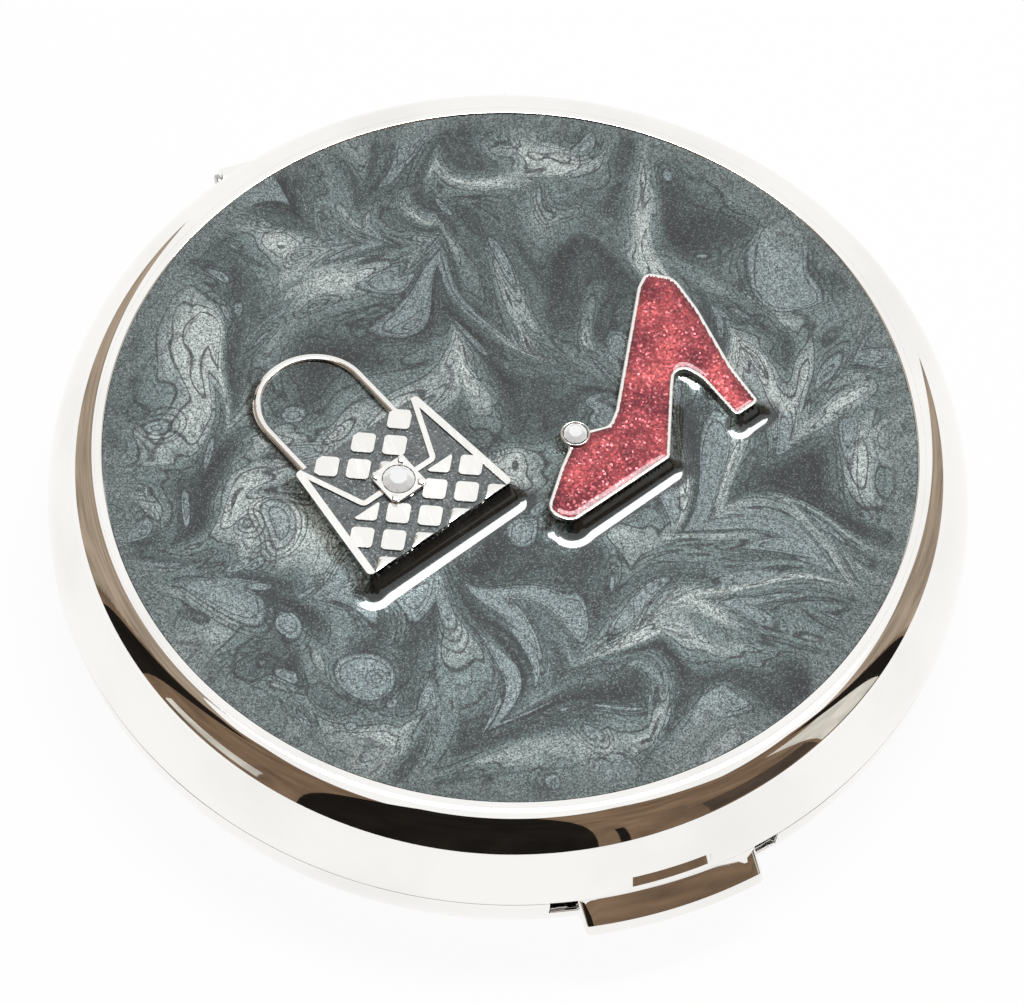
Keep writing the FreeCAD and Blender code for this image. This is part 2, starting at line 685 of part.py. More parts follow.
def bag_raised(z0, z1, grow=0.0):
    """Everything on the bag that stands above the grooves."""
    bag = prism(bag_outline(grow), z0, z1)
    strips = bag.cut(prism(bag_panel(-grow), z0, z1))
    panel = bag.common(prism(bag_panel(grow), z0, z1))
    rib = FLAP_RIB / 2 + grow
    flap_rib = prism(flap_outline(rib), z0, z1).cut(prism(flap_outline(-rib), z0, z1))
    setting = prism(setting_outline(grow), z0, z1)
    gap = (FLAP_RIB + QUILT_GROOVE) / 2 - grow
    flap_room = panel.common(prism(flap_outline(-gap), z0, z1))
    side = BAG_BOTTOM_WIDTH
    lower_y = BAG_BOTTOM_Y + FLAP_BOTTOM - gap
    low_y = BAG_BOTTOM_Y - BAG_HEIGHT
    lower_room = block(BAG_CENTRE_X - side, BAG_CENTRE_X + side, low_y, lower_y, z0, z1)
    pieces = lozenges(FLAP_ROW, flap_room, FLAP_SCRAP, z0, z1, grow)
    pieces += lozenges(BODY_ROW, panel.common(lower_room), QUILT_SCRAP, z0, z1, grow)
    return strips.multiFuse([flap_rib.common(panel), setting] + pieces)


def make_handbag_charm():
    """Cast bag with quilted relief, clasp mount and arched handle."""
    groove_z = BAG_TOP_Z - BAG_RELIEF
    x, y = setting_centre()
    slab = prism(bag_outline(), FLOOR_Z, groove_z)
    handle = handle_solid(FLOOR_Z, FIELD_Z + HANDLE_RISE)
    mount_z = BAG_TOP_Z + SETTING_RISE
    mount = prism(setting_outline(), groove_z, mount_z)
    corner = SETTING_SIDE / 2 - CLAW_INSET
    places = [(x + i * corner, y + j * corner) for i in (-1, 1) for j in (-1, 1)]
    claws = [disc(CLAW_DIAMETER / 2, groove_z, mount_z + CLAW_RISE, *place) for place in places]
    charm = slab.multiFuse([bag_raised(groove_z, BAG_TOP_Z), handle, mount] + claws)
    seat_z = mount_z - BAG_STONE_DIAMETER * STONE_PAVILION - GLUE_FIT
    cup = disc(BAG_STONE_DIAMETER / 2 + GLUE_FIT, seat_z, mount_z, x, y)
    return charm.cut(cup).removeSplitter()


def make_handbag_enamel():
    """Dark enamel that fills the quilting grooves part of the way."""
    z0 = BAG_TOP_Z - BAG_RELIEF
    z1 = z0 + GROOVE_FILL
    return prism(bag_outline(-GLUE_FIT), z0, z1).cut(bag_raised(z0, z1, GLUE_FIT))


def stone(diameter, x, y, girdle_z):
    """A faceted stone with a flat table and a blunt point."""
    radius = diameter / 2
    levels = [
        (radius * STONE_CULET, girdle_z - diameter * STONE_PAVILION),
        (radius, girdle_z),
        (radius * STONE_TABLE, girdle_z + diameter * STONE_CROWN),
    ]
    wires = []
    for ring, z in levels:
        turns = [2 * math.pi * k / STONE_FACETS for k in range(STONE_FACETS)]
        corners = [Vector(x + ring * math.cos(t), y + ring * math.sin(t), z) for t in turns]
        wires.append(Part.makePolygon(corners + corners[:1]))
    return Part.makeLoft(wires, True, True)


def make_handbag_crystal():
    """The clasp stone."""
    x, y = setting_centre()
    return stone(BAG_STONE_DIAMETER, x, y, BAG_TOP_Z + SETTING_RISE)


def shoe_cup(grow=0.0):
    """The round mount of the shoe's stone."""
    x, y = SHOE_CUP_CENTRE
    return disc(SHOE_CUP_DIAMETER / 2 + grow, FLOOR_Z, SHOE_TOP_Z + SHOE_CUP_RISE, x, y)


def make_shoe_charm():
    """Cast court shoe: a thin wall round a floor, and a cup for its stone."""
    body = prism(SHOE_OUTLINE, FLOOR_Z, SHOE_TOP_Z)
    pocket = prism(inset(SHOE_OUTLINE, SHOE_WALL), FLOOR_Z + SHOE_FLOOR, SHOE_TOP_Z)
    x, y = SHOE_CUP_CENTRE
    top_z = SHOE_TOP_Z + SHOE_CUP_RISE
    seat_z = top_z - SHOE_STONE_DIAMETER * STONE_PAVILION - GLUE_FIT
    seat = disc(SHOE_STONE_DIAMETER / 2 + GLUE_FIT, seat_z, top_z, x, y)
    return body.cut(pocket).fuse(shoe_cup()).cut(seat).removeSplitter()


def make_shoe_enamel():
    """Red enamel poured inside the shoe's wall."""
    corners = inset(SHOE_OUTLINE, SHOE_WALL + GLUE_FIT)
    fill = prism(corners, FLOOR_Z + SHOE_FLOOR, SHOE_TOP_Z - SHOE_FILL_DROP)
    return fill.cut(shoe_cup(GLUE_FIT))


def make_shoe_crystal():
    """The stone on the shoe's vamp."""
    x, y = SHOE_CUP_CENTRE
    return stone(SHOE_STONE_DIAMETER, x, y, SHOE_TOP_Z + SHOE_CUP_RISE)


def make_marbled_enamel():
    """Poured field that climbs a little to the rim and to each charm."""
    top_z = RIM_Z - GLUE_FIT
    foot = Vector(FIELD_RADIUS - RIM_MENISCUS, 0, FIELD_Z)
    tip = Vector(FIELD_RADIUS, 0, top_z)
    rise = top_z - FIELD_Z
    bend = (RIM_MENISCUS**2 + rise**2) / (2 * rise)
    angle = math.asin(RIM_MENISCUS / bend) / 2
    middle = foot + Vector(bend * math.sin(angle), 0, bend * (1 - math.cos(angle)))
    corners = [tip, Vector(FIELD_RADIUS, 0, FLOOR_Z), Vector(0, 0, FLOOR_Z), Vector(0, 0, FIELD_Z), foot]
    edges = [Part.makeLine(a, b) for a, b in zip(corners, corners[1:])]
    edges.append(Part.Arc(foot, middle, tip).toShape())
    field = Part.Face(Part.Wire(edges)).revolve(Vector(), Z_AXIS, 360)
    shoe = inset(SHOE_OUTLINE, -GLUE_FIT)
    climb_z = FIELD_Z + 2 * CHARM_MENISCUS
    islands = [prism(bag_outline(GLUE_FIT), FLOOR_Z, climb_z), prism(shoe, FLOOR_Z, climb_z)]
    for island in islands:
        field = field.fuse(island).removeSplitter()
        level = [e for e in field.Edges if e.BoundBox.ZLength < TOLERANCE]
        level = [e for e in level if abs(e.BoundBox.ZMin - FIELD_Z) < TOLERANCE]
        box = island.BoundBox
        box.enlarge(TOLERANCE)
        foot_edges = [e for e in level if box.isInside(e.BoundBox)]
        field = field.makeFillet(CHARM_MENISCUS, foot_edges)
    high = RIM_Z + 2 * BAG_RISE
    cuts = [
        prism(bag_outline(GLUE_FIT), FLOOR_Z, high),
        prism(shoe, FLOOR_Z, high),
        shoe_cup(GLUE_FIT),
        handle_solid(FLOOR_Z, high, GLUE_FIT),
    ]
    for cut in cuts:
        field = field.cut(cut)
    return field


base_shell = make_base_shell()
lid_shell = make_lid_shell()
base_glass_back = BASE_DEPTH - MIRROR_RECESS - MIRROR_THICKNESS
lid_glass_back = BASE_DEPTH + MIRROR_RECESS + MIRROR_THICKNESS
nodes = {
    "base_shell": base_shell,
    "base_mirror_frame": make_base_mirror_frame(),
    "base_mirror_pad": mirror_pad(base_glass_back, 1),
    "base_mirror": make_base_mirror(),
    "base_hinge_knuckles": make_base_hinge_knuckles(base_shell),
    "hinge_pin": make_hinge_pin(),
    "push_button": make_push_button(),
    "button_guides": make_button_guides(),
    "catch_spring": make_catch_spring(),
    "lid_shell": lid_shell,
    "lid_mirror_frame": make_lid_mirror_frame(),
    "lid_mirror_pad": mirror_pad(lid_glass_back, -1),
    "lid_mirror": make_lid_mirror(),
    "lid_hinge_knuckle": make_lid_hinge_knuckle(lid_shell),
    "catch_hook": make_catch_hook(),
    "hook_rivets": make_hook_rivets(),
    "top_plate": make_top_plate(),
    "marbled_enamel": set_in_lid(make_marbled_enamel()),
    "handbag_charm": set_in_lid(make_handbag_charm()),
    "handbag_enamel": set_in_lid(make_handbag_enamel()),
    "handbag_crystal": set_in_lid(make_handbag_crystal()),
    "shoe_charm": set_in_lid(make_shoe_charm()),
    "shoe_enamel": set_in_lid(make_shoe_enamel()),
    "shoe_crystal": set_in_lid(make_shoe_crystal()),
}

os.makedirs("parts", exist_ok=True)
for name, shape in nodes.items():
    shape.exportStep(f"parts/{name}.step")
    print(name, len(shape.Solids), round(shape.Volume, 2), shape.isValid())
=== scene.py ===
# %% [markdown]
# # A round compact mirror
# The solids of the compact are already built and packed. They come in as a fixed
# frame, and every piece that is modelled here takes its size and place from them.
# The frame is loaded first, before anything else exists, so that its box is taken
# from the solids alone; it is printed beside the dressed model's box at the end.

# %% Load the frame
import math

import bmesh
import bpy
from mathutils import Matrix, Vector
from mathutils.bvhtree import BVHTree


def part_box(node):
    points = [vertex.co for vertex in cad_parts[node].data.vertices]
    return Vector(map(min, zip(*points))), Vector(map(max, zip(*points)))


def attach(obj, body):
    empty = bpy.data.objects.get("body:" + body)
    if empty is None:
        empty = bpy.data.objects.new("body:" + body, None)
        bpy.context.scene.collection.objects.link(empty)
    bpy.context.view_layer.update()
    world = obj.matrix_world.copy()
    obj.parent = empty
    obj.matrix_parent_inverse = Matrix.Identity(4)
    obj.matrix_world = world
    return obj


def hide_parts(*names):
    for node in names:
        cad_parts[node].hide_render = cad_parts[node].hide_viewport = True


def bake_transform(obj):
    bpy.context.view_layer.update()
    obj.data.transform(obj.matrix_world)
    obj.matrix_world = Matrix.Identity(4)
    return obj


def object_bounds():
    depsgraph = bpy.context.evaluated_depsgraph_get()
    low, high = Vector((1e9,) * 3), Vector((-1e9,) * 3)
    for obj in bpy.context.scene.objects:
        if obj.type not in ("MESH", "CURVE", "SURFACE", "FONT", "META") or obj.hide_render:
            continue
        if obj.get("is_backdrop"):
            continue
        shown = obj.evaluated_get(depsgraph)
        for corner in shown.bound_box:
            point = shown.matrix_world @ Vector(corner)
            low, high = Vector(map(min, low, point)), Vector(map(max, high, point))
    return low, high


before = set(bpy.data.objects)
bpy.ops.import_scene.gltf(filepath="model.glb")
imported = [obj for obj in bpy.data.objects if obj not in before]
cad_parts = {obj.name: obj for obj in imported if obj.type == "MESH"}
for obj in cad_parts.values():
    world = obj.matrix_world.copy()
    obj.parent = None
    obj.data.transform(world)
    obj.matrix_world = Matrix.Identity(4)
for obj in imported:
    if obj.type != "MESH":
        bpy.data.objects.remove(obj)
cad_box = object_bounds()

MM = 0.001
scene = bpy.context.scene
scene.view_settings.view_transform = "Standard"
frame_size = [round(x / MM, 2) for x in cad_box[1] - cad_box[0]]
print("frame:", len(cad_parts), "nodes, box in mm", frame_size)

# %% [markdown]
# ## The camera
# The picture looks down on the closed case from the push button's side. The lens
# and the place were worked out from the lid's round rim, which is a true circle:
# how long and how flat its oval is gives the distance and the height. The camera
# could be aimed at an empty, but here it is turned in three plain steps: look at
# the middle of the rim, roll, then swing until that middle lies on its pixel.

# %% Camera
IMAGE_SIZE = (1024, 1005)
RIM_PIXEL = (511.0, 437.4)  # where the middle of the lid's rim is seen
FOCAL_PIXELS = 3668
SENSOR_WIDTH = 36.0
VIEW_DISTANCE = 258.3 * MM
VIEW_AZIMUTH = math.radians(-21.6)
VIEW_ELEVATION = math.radians(57.22)
VIEW_ROLL = math.radians(2.604)


def seen(right, far, up):
    """A direction or place given as right, far and up, as the camera sees them."""
    return Matrix.Rotation(VIEW_AZIMUTH, 3, "Z") @ Vector((right, far, up))


rim_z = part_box("lid_shell")[1].z
rim_middle = Vector((0, 0, rim_z))
back = seen(0, -math.cos(VIEW_ELEVATION), math.sin(VIEW_ELEVATION))
across = (RIM_PIXEL[0] - IMAGE_SIZE[0] / 2) / FOCAL_PIXELS
down = (RIM_PIXEL[1] - IMAGE_SIZE[1] / 2) / FOCAL_PIXELS
swing = Vector((0, 0, -1)).rotation_difference(Vector((across, -down, -1)))
look = (-back).to_track_quat("-Z", "Y").to_matrix() @ Matrix.Rotation(VIEW_ROLL, 3, "Z")

lens = bpy.data.cameras.new("camera")
lens.sensor_width = SENSOR_WIDTH
lens.lens = FOCAL_PIXELS * SENSOR_WIDTH / IMAGE_SIZE[0]
lens.clip_start = 0.01
camera = bpy.data.objects.new("camera", lens)
camera.matrix_world = (look @ swing.to_matrix().inverted()).to_4x4()
camera.location = rim_middle + back * VIEW_DISTANCE
scene.collection.objects.link(camera)
scene.camera = camera
print("camera:", round(lens.lens, 1), "mm lens at", [round(x / MM, 1) for x in camera.location])

# %% [markdown]
# ## Node helpers
# A finish is a small graph of shader nodes. Clicking it together in the editor is
# the usual way; in a script, one helper that adds a node, sets its options and
# joins its inputs keeps each finish short enough to read.

# %% Node helpers
NOISE_MIDDLE = (0.5, 0.5, 0.5)  # what a noise or a random colour swings round


def put(tree, kind, inputs=None, **options):
    """Add a shader node; inputs are joined to sockets or set to plain values."""
    made = tree.nodes.new("ShaderNode" + kind)
    for name, value in options.items():
        setattr(made, name, value)
    for name, value in (inputs or {}).items():
        if isinstance(value, bpy.types.NodeSocket):
            tree.links.new(value, made.inputs[name])
        else:
            made.inputs[name].default_value = value
    return made


def math_node(tree, operation, *values):
    """The result of one Math node."""
    return put(tree, "Math", dict(enumerate(values)), operation=operation).outputs[0]


def vector_node(tree, operation, *values):
    """The vector that one Vector Math node gives."""
    return put(tree, "VectorMath", dict(enumerate(values)), operation=operation).outputs[0]


def span(tree, value, low, high, to_low, to_high, smooth=True):
    """A value moved from one range to another, held inside the new one."""
    kind = "SMOOTHSTEP" if smooth else "LINEAR"
    ranges = {"From Min": low, "From Max": high, "To Min": to_low, "To Max": to_high}
    return put(tree, "MapRange", {"Value": value, **ranges}, interpolation_type=kind).outputs[0]


def tones(tree, value, stops):
    """A colour ramp with (place, colour) stops."""
    made = put(tree, "ValToRGB", {"Fac": value})
    band = made.color_ramp
    while len(band.elements) < len(stops):
        band.elements.new(1.0)
    for element, (place, colour) in zip(band.elements, stops):
        element.position = place
        element.color = (*colour, 1.0)
    return made.outputs["Color"]


def blend(tree, mode, amount, first, second):
    """Two colours mixed."""
    made = put(tree, "Mix", data_type="RGBA", blend_type=mode)
    for socket, value in ((made.inputs[0], amount), (made.inputs[6], first), (made.inputs[7], second)):
        if isinstance(value, bpy.types.NodeSocket):
            tree.links.new(value, socket)
        else:
            socket.default_value = value
    return made.outputs[2]


def finish_of(name, **sockets):
    """A new material with its Principled BSDF's plain sockets set."""
    made = bpy.data.materials.new(name)
    made.use_nodes = True
    shader = made.node_tree.nodes["Principled BSDF"]
    for socket, value in sockets.items():
        shader.inputs[socket.replace("_", " ")].default_value = value
    return made, made.node_tree, shader


def object_spot(tree, scale=(1, 1, 1)):
    """Object coordinates in millimetres, so that sizes below are real ones."""
    spot = put(tree, "TexCoord").outputs["Object"]
    size = [s / MM for s in scale]
    return put(tree, "Mapping", {"Vector": spot, "Scale": size}).outputs["Vector"]


# %% [markdown]
# ## Floor, sky and light
# The picture was taken on white paper under a long soft lamp that hangs over the far
# side of the case, with a brown room on the camera's side. Polished metal only shows
# what is round it, so the room matters more than the lamp. A photograph of a room
# could be used as a sky, but a few plain walls are easier to place: brown and tan
# ones, a pale door and window, and a dark one for whoever holds the camera. They
# hide from the camera itself.

# %% Floor and sky
FLOOR_HALF = 3.0
FLOOR_WHITE = (0.92, 0.92, 0.91, 1)
PAPER_GLOW = 0.93  # share of the paper that shows as plain white
SKY_LIGHT = 0.5


def on_show(tree):
    """One for rays from the camera and for those seen in metal or glass."""
    path = put(tree, "LightPath").outputs
    mirrored = math_node(tree, "MAXIMUM", path["Is Glossy Ray"], path["Is Transmission Ray"])
    return math_node(tree, "MAXIMUM", path["Is Camera Ray"], mirrored)


def link_object(name, bm):
    """A new object in the scene from a finished bmesh."""
    mesh = bpy.data.meshes.new(name)
    bm.to_mesh(mesh)
    bm.free()
    made = bpy.data.objects.new(name, mesh)
    scene.collection.objects.link(made)
    return made


def white_paper():
    """Matt white that keeps a soft shadow under the case."""
    made, tree, shader = finish_of("white_paper", Base_Color=FLOOR_WHITE, Roughness=0.9)
    glow = put(tree, "Emission", {"Color": (1, 1, 1, 1), "Strength": 1.0})
    share = math_node(tree, "MULTIPLY", on_show(tree), PAPER_GLOW)
    joined = put(tree, "MixShader", {0: share, 1: shader.outputs[0], 2: glow.outputs[0]})
    tree.links.new(joined.outputs[0], tree.nodes["Material Output"].inputs["Surface"])
    return made


bm = bmesh.new()
bmesh.ops.create_grid(bm, x_segments=1, y_segments=1, size=FLOOR_HALF)
floor = link_object("floor", bm)
floor.data.materials.append(white_paper())
floor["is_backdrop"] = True

scene.world = bpy.data.worlds.new("sky")
scene.world.use_nodes = True
sky = scene.world.node_tree
sky_level = span(sky, on_show(sky), 0, 1, SKY_LIGHT, 1.0, smooth=False)
sky.links.new(sky_level, sky.nodes["Background"].inputs["Strength"])
sky.nodes["Background"].inputs["Color"].default_value = (1, 1, 1, 1)
print("floor and sky made")

# %% Lamp and room
SOFTBOX_PLACE = (0.07, 0.19, 0.67)  # right, far and up, in metres
SOFTBOX_SIZE = (0.38, 0.13)
SOFTBOX_WATTS = 2.6
ROOM_REACH = 1.2
ROOM_LAYER_STEP = 0.1  # share of the reach that a layer stands in front of the last
ROOM_FLOOR_RISE = 15.0  # degrees that the paper's edge stands up beside the case
ROOM_RISE_AT = 120.0  # degrees round from the camera's side where it does
ROOM_RISE_BEND = 1.5
PAINT_RANGE = (0.65, 1.2)  # darkest and lightest shares of a wall's colour
TAN = (0.40, 0.32, 0.245)
BROWN = (0.21, 0.14, 0.09)
PALE = (0.66, 0.63, 0.57)
SHADE = (0.075, 0.055, 0.042)
DARK = (0.014, 0.012, 0.010)
ROOM = {  # degrees round from the camera's side, lowest and highest degrees, layer, colour
    "wall_far_left": (-152, -94, 0, 68, 0, TAN),
    "wall_left": (-95, -35, 0, 71, 0, BROWN),
    "post_left": (-91, -76, 0, 64, 1, DARK),
    "window_left": (-70, -47, 5, 20, 1, PALE),
    "camera_side": (-38, 20, 0, 79, 1, DARK),
    "wall_near_right": (18, 68, 0, 79, 0, BROWN),
    "wall_right": (66, 94, 0, 63, 0, BROWN),
    "post_right": (24.2, 26.2, 0, 27, 1, DARK),
    "shelf": (42, 66, 2, 25, 1, SHADE),
    "door": (67, 83, 2, 50, 1, PALE),
    "door_post": (83, 92, 0, 58, 1, DARK),
    "wall_far_right": (93, 138, 0, 57, 0, TAN),
}


def room_paint(name, colour):
    """A dim glow with soft upright streaks, so that a wall is never quite even."""
    made = bpy.data.materials.new(name)
    made.use_nodes = True
    tree = made.node_tree
    tree.nodes.remove(tree.nodes["Principled BSDF"])
    spot = put(tree, "TexCoord").outputs["Object"]
    streak = put(tree, "Mapping", {"Vector": spot, "Scale": (1, 1, 0.12)}).outputs[0]
    noise = put(tree, "TexNoise", {"Vector": streak, "Scale": 7.0, "Detail": 4.0}).outputs[0]
    dim, lit = [tuple(c * share for c in colour) for share in PAINT_RANGE]
    paint = tones(tree, noise, ((0.3, dim), (0.7, lit)))
    glow = put(tree, "Emission", {"Color": paint, "Strength": 1.0})
    tree.links.new(glow.outputs[0], tree.nodes["Material Output"].inputs["Surface"])
    return made


def room_wall(name, left, right, low, high, layer, colour):
    """A piece of a round room that only shows in reflections."""
    bm = bmesh.new()
    bmesh.ops.create_grid(bm, x_segments=32, y_segments=16, size=0.5)
    reach = ROOM_REACH * (1 - ROOM_LAYER_STEP * layer)
    for v in bm.verts:
        degrees = left + (right - left) * (v.co.x + 0.5)
        foot = low + ROOM_FLOOR_RISE * (abs(degrees) / ROOM_RISE_AT) ** ROOM_RISE_BEND
        turn = math.radians(degrees)
        lift = math.radians(foot + (high - foot) * (v.co.y + 0.5))
        out = reach * math.cos(lift)
        v.co = seen(out * math.sin(turn), -out * math.cos(turn), reach * math.sin(lift))
    made = link_object(name, bm)
    made.visible_camera = False
    made.visible_diffuse = False
    made.visible_shadow = False
    made.data.materials.append(room_paint(name, colour))
    made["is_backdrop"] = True


lamp = bpy.data.lights.new("softbox", "AREA")
lamp.shape = "RECTANGLE"
lamp.size, lamp.size_y = SOFTBOX_SIZE
lamp.energy = SOFTBOX_WATTS
softbox = bpy.data.objects.new("softbox", lamp)
softbox.matrix_world = Matrix.Translation(seen(*SOFTBOX_PLACE)) @ Matrix.Rotation(VIEW_AZIMUTH, 4, "Z")
scene.collection.objects.link(softbox)
for wall_name, wall in ROOM.items():
    room_wall(wall_name, *wall)
print("one lamp and", len(ROOM), "pieces of room")

# %% [markdown]
# ## Shared effects
# Two things happen on more than one finish. Polished plating carries hairlines
# from wiping and a faint haze from fingers. The enamels are full of mica: flakes
# about a tenth of a millimetre wide that lie at slightly different angles, so each
# catches the light by itself. Each effect is a node group, built once.

# %% Shared effects
WIPE_TURNS = (0.4, 1.5, 2.7)  # directions of the hairlines in radians
WIPE_STRETCH = 0.03  # a hairline's width as a share of its length


def new_group(name, inputs, outputs):
    """An empty node group with its sockets, and its input and output nodes."""
    tree = bpy.data.node_groups.new(name, "ShaderNodeTree")
    for socket, kind in inputs.items():
        tree.interface.new_socket(socket, in_out="INPUT", socket_type="NodeSocket" + kind)
    for socket, kind in outputs.items():
        tree.interface.new_socket(socket, in_out="OUTPUT", socket_type="NodeSocket" + kind)
    given = tree.nodes.new("NodeGroupInput").outputs
    result = tree.nodes.new("NodeGroupOutput").inputs
    return tree, given, result


def make_wear_group():
    """Hairlines from wiping and a cloudy haze from fingers."""
    inputs = {"Spot": "Vector", "Line Spacing": "Float", "Haze Size": "Float"}
    tree, given, result = new_group("wiping_wear", inputs, {"Lines": "Float", "Haze": "Float"})
    line_scale = math_node(tree, "DIVIDE", 1.0, given["Line Spacing"])
    haze_scale = math_node(tree, "DIVIDE", 1.0, given["Haze Size"])
    sets = []
    for turn in WIPE_TURNS:
        wiped = {"Vector": given["Spot"], "Rotation": (0, 0, turn), "Scale": (1, WIPE_STRETCH, 1)}
        laid = put(tree, "Mapping", wiped)
        noise = put(tree, "TexNoise", {"Vector": laid.outputs[0], "Scale": line_scale, "Detail": 1.0})
        sets.append(span(tree, noise.outputs[0], 0.66, 0.72, 0, 1))
    lines = math_node(tree, "MAXIMUM", math_node(tree, "MAXIMUM", sets[0], sets[1]), sets[2])
    cloud = put(tree, "TexNoise", {"Vector": given["Spot"], "Scale": haze_scale, "Detail": 4.0})
    tree.links.new(lines, result["Lines"])
    tree.links.new(span(tree, cloud.outputs[0], 0.35, 0.75, 0, 1), result["Haze"])
    return tree


def make_mica_group():
    """Flakes that each lean their own way: a leaning normal and a random shine."""
    inputs = {"Spot": "Vector", "Flake Size": "Float", "Lean": "Float"}
    tree, given, result = new_group("mica", inputs, {"Normal": "Vector", "Shine": "Float"})
    scale = math_node(tree, "DIVIDE", 1.0, given["Flake Size"])
    flake = put(tree, "TexVoronoi", {"Vector": given["Spot"], "Scale": scale})
    lean = vector_node(tree, "SUBTRACT", flake.outputs["Color"], NOISE_MIDDLE)
    pushed = put(tree, "VectorMath", {0: lean}, operation="SCALE")
    tree.links.new(given["Lean"], pushed.inputs["Scale"])
    upright = put(tree, "NewGeometry").outputs["Normal"]
    leaning = vector_node(tree, "NORMALIZE", vector_node(tree, "ADD", upright, pushed.outputs[0]))
    tree.links.new(leaning, result["Normal"])
    tree.links.new(put(tree, "SeparateColor", {0: flake.outputs["Color"]}).outputs[2], result["Shine"])
    return tree


wear_group = make_wear_group()
mica_group = make_mica_group()


def use_group(tree, group, **values):
    """Place a node group in a material with its own values."""
    made = put(tree, "Group", node_tree=group)
    for name, value in values.items():
        socket = made.inputs[name.replace("_", " ")]
        if isinstance(value, bpy.types.NodeSocket):
            tree.links.new(value, socket)
        else:
            socket.default_value = value
    return made.outputs


print("groups:", wear_group.name, mica_group.name)

# %% [markdown]
# ## Plating
# The case, the charms and the mirror trays are bright nickel over brass. A metal
# finish is mostly its roughness: the case is buffed like a mirror, the cast charms
# keep a softer shine, and the trays were only plated. The same function makes all
# three, and the wear group breaks up the shine a little.

# %% Plating
DULLED = 0.93  # share of its colour that hazy plating keeps


def plating(name, colour, polish, haze, grain_height):
    """Bright plating: roughness from haze and hairlines, and a little cast grain."""
    made, tree, shader = finish_of(name, Metallic=1.0)
    spot = object_spot(tree)
    wear = use_group(tree, wear_group, Spot=spot, Line_Spacing=0.12, Haze_Size=9.0)
    rough = span(tree, wear["Haze"], 0, 1, polish, polish + haze, smooth=False)
    marked = math_node(tree, "MULTIPLY", wear["Lines"], haze)
    tree.links.new(math_node(tree, "ADD", rough, marked), shader.inputs["Roughness"])
    dull = tuple(c * DULLED for c in colour)
    tint = blend(tree, "MIX", wear["Haze"], (*colour, 1), (*dull, 1))
    tree.links.new(tint, shader.inputs["Base Color"])
    grain = put(tree, "TexNoise", {"Vector": spot, "Scale": 4.0, "Detail": 3.0})
    bump = put(tree, "Bump", {"Height": grain.outputs[0], "Distance": grain_height * MM, "Strength": 1.0})
    tree.links.new(bump.outputs[0], shader.inputs["Normal"])
    return made


plated_case = plating("plated_case", (0.94, 0.925, 0.90), 0.02, 0.025, 0.0002)
plated_charm = plating("plated_charm", (0.88, 0.87, 0.84), 0.10, 0.08, 0.004)
plated_frame = plating("plated_frame", (0.90, 0.89, 0.87), 0.06, 0.06, 0.001)
print("plating:", plated_case.name, plated_charm.name, plated_frame.name)

# %% [markdown]
# ## Piece helpers
# Most metal pieces are either turned, like the case, or cut, like the hinge. A
# turned piece starts from half of its cross section and a spin. A cut piece starts
# from a merged copy of its solid whose hard edges are rounded with a bevel, since
# no real edge is perfectly sharp and it is the rounded edge that catches the light.

# %% Piece helpers
ROUND_STEPS = 360
SMOOTH_ANGLE = math.radians(35)
HARD_EDGE = math.radians(28)
FLAT_ANGLE = math.radians(0.5)  # faces that meet at less are one face
MERGE_GAP = 0.001 * MM
HIGH_UP = 1.0  # well above the case, where a plumb line starts


def settle(name, bm, body, slot, finish, *nodes):
    """Make a finished bmesh an object that rides on a body, if any, and stands for its nodes."""
    made = link_object(name, bm)
    made.data.shade_smooth()
    made.data.set_sharp_from_angle(angle=SMOOTH_ANGLE)
    made.data.materials.append(finish)
    even = made.modifiers.new("even_normals", "WEIGHTED_NORMAL")
    even.keep_sharp = True
    if body:
        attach(made, body)
    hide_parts(*nodes)
    print(name, len(made.data.polygons), "faces")
    return made


def spin_outline(bm, outline, start=0.0, sweep=2 * math.pi):
    """Spin an outline of (radius, height) points, in metres, about the case's axis."""
    corners = [bm.verts.new((radius, 0, height)) for radius, height in outline]
    closed = outline[0][0] > 0
    ends = corners[1:] + corners[:1] if closed else corners[1:]
    edges = [bm.edges.new(pair) for pair in zip(corners, ends)]
    bmesh.ops.rotate(bm, verts=corners, matrix=Matrix.Rotation(start, 3, "Z"))
    steps = max(2, round(ROUND_STEPS * sweep / (2 * math.pi)))
    full = math.isclose(sweep, 2 * math.pi)
    bmesh.ops.spin(bm, geom=corners + edges, axis=(0, 0, 1), angle=sweep, steps=steps, use_merge=full)


def clean(bm):
    """Merge doubles, close holes and turn all faces outwards."""
    bmesh.ops.remove_doubles(bm, verts=bm.verts, dist=MERGE_GAP)
    open_edges = [e for e in bm.edges if e.is_boundary]
    if open_edges:
        bmesh.ops.holes_fill(bm, edges=open_edges)
    bmesh.ops.recalc_face_normals(bm, faces=bm.faces)


def hard_edges(bm):
    """The edges where two faces meet at a clear angle."""
    return [e for e in bm.edges if e.is_manifold and e.calc_face_angle(0) > HARD_EDGE]


def round_edges(bm, width, edges, segments=2):
    """Bevel some edges."""
    shape = {"segments": segments, "profile": 0.5, "material": -1, "clamp_overlap": True}
    bmesh.ops.bevel(bm, geom=edges, offset=width, affect="EDGES", **shape)


def merged_copy(node):
    """A bmesh of a CAD node with its triangles joined and its flat faces whole."""
    bm = bmesh.new()
    bm.from_mesh(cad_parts[node].data)
    bmesh.ops.remove_doubles(bm, verts=bm.verts, dist=MERGE_GAP)
    bmesh.ops.dissolve_limit(bm, angle_limit=FLAT_ANGLE, verts=bm.verts, edges=bm.edges)
    return bm


def cut_off(bm, place, normal):
    """Drop what lies beyond a plane and close the cut."""
    everything = bm.verts[:] + bm.edges[:] + bm.faces[:]
    bmesh.ops.bisect_plane(bm, geom=everything, plane_co=place, plane_no=normal, clear_outer=True)
    clean(bm)


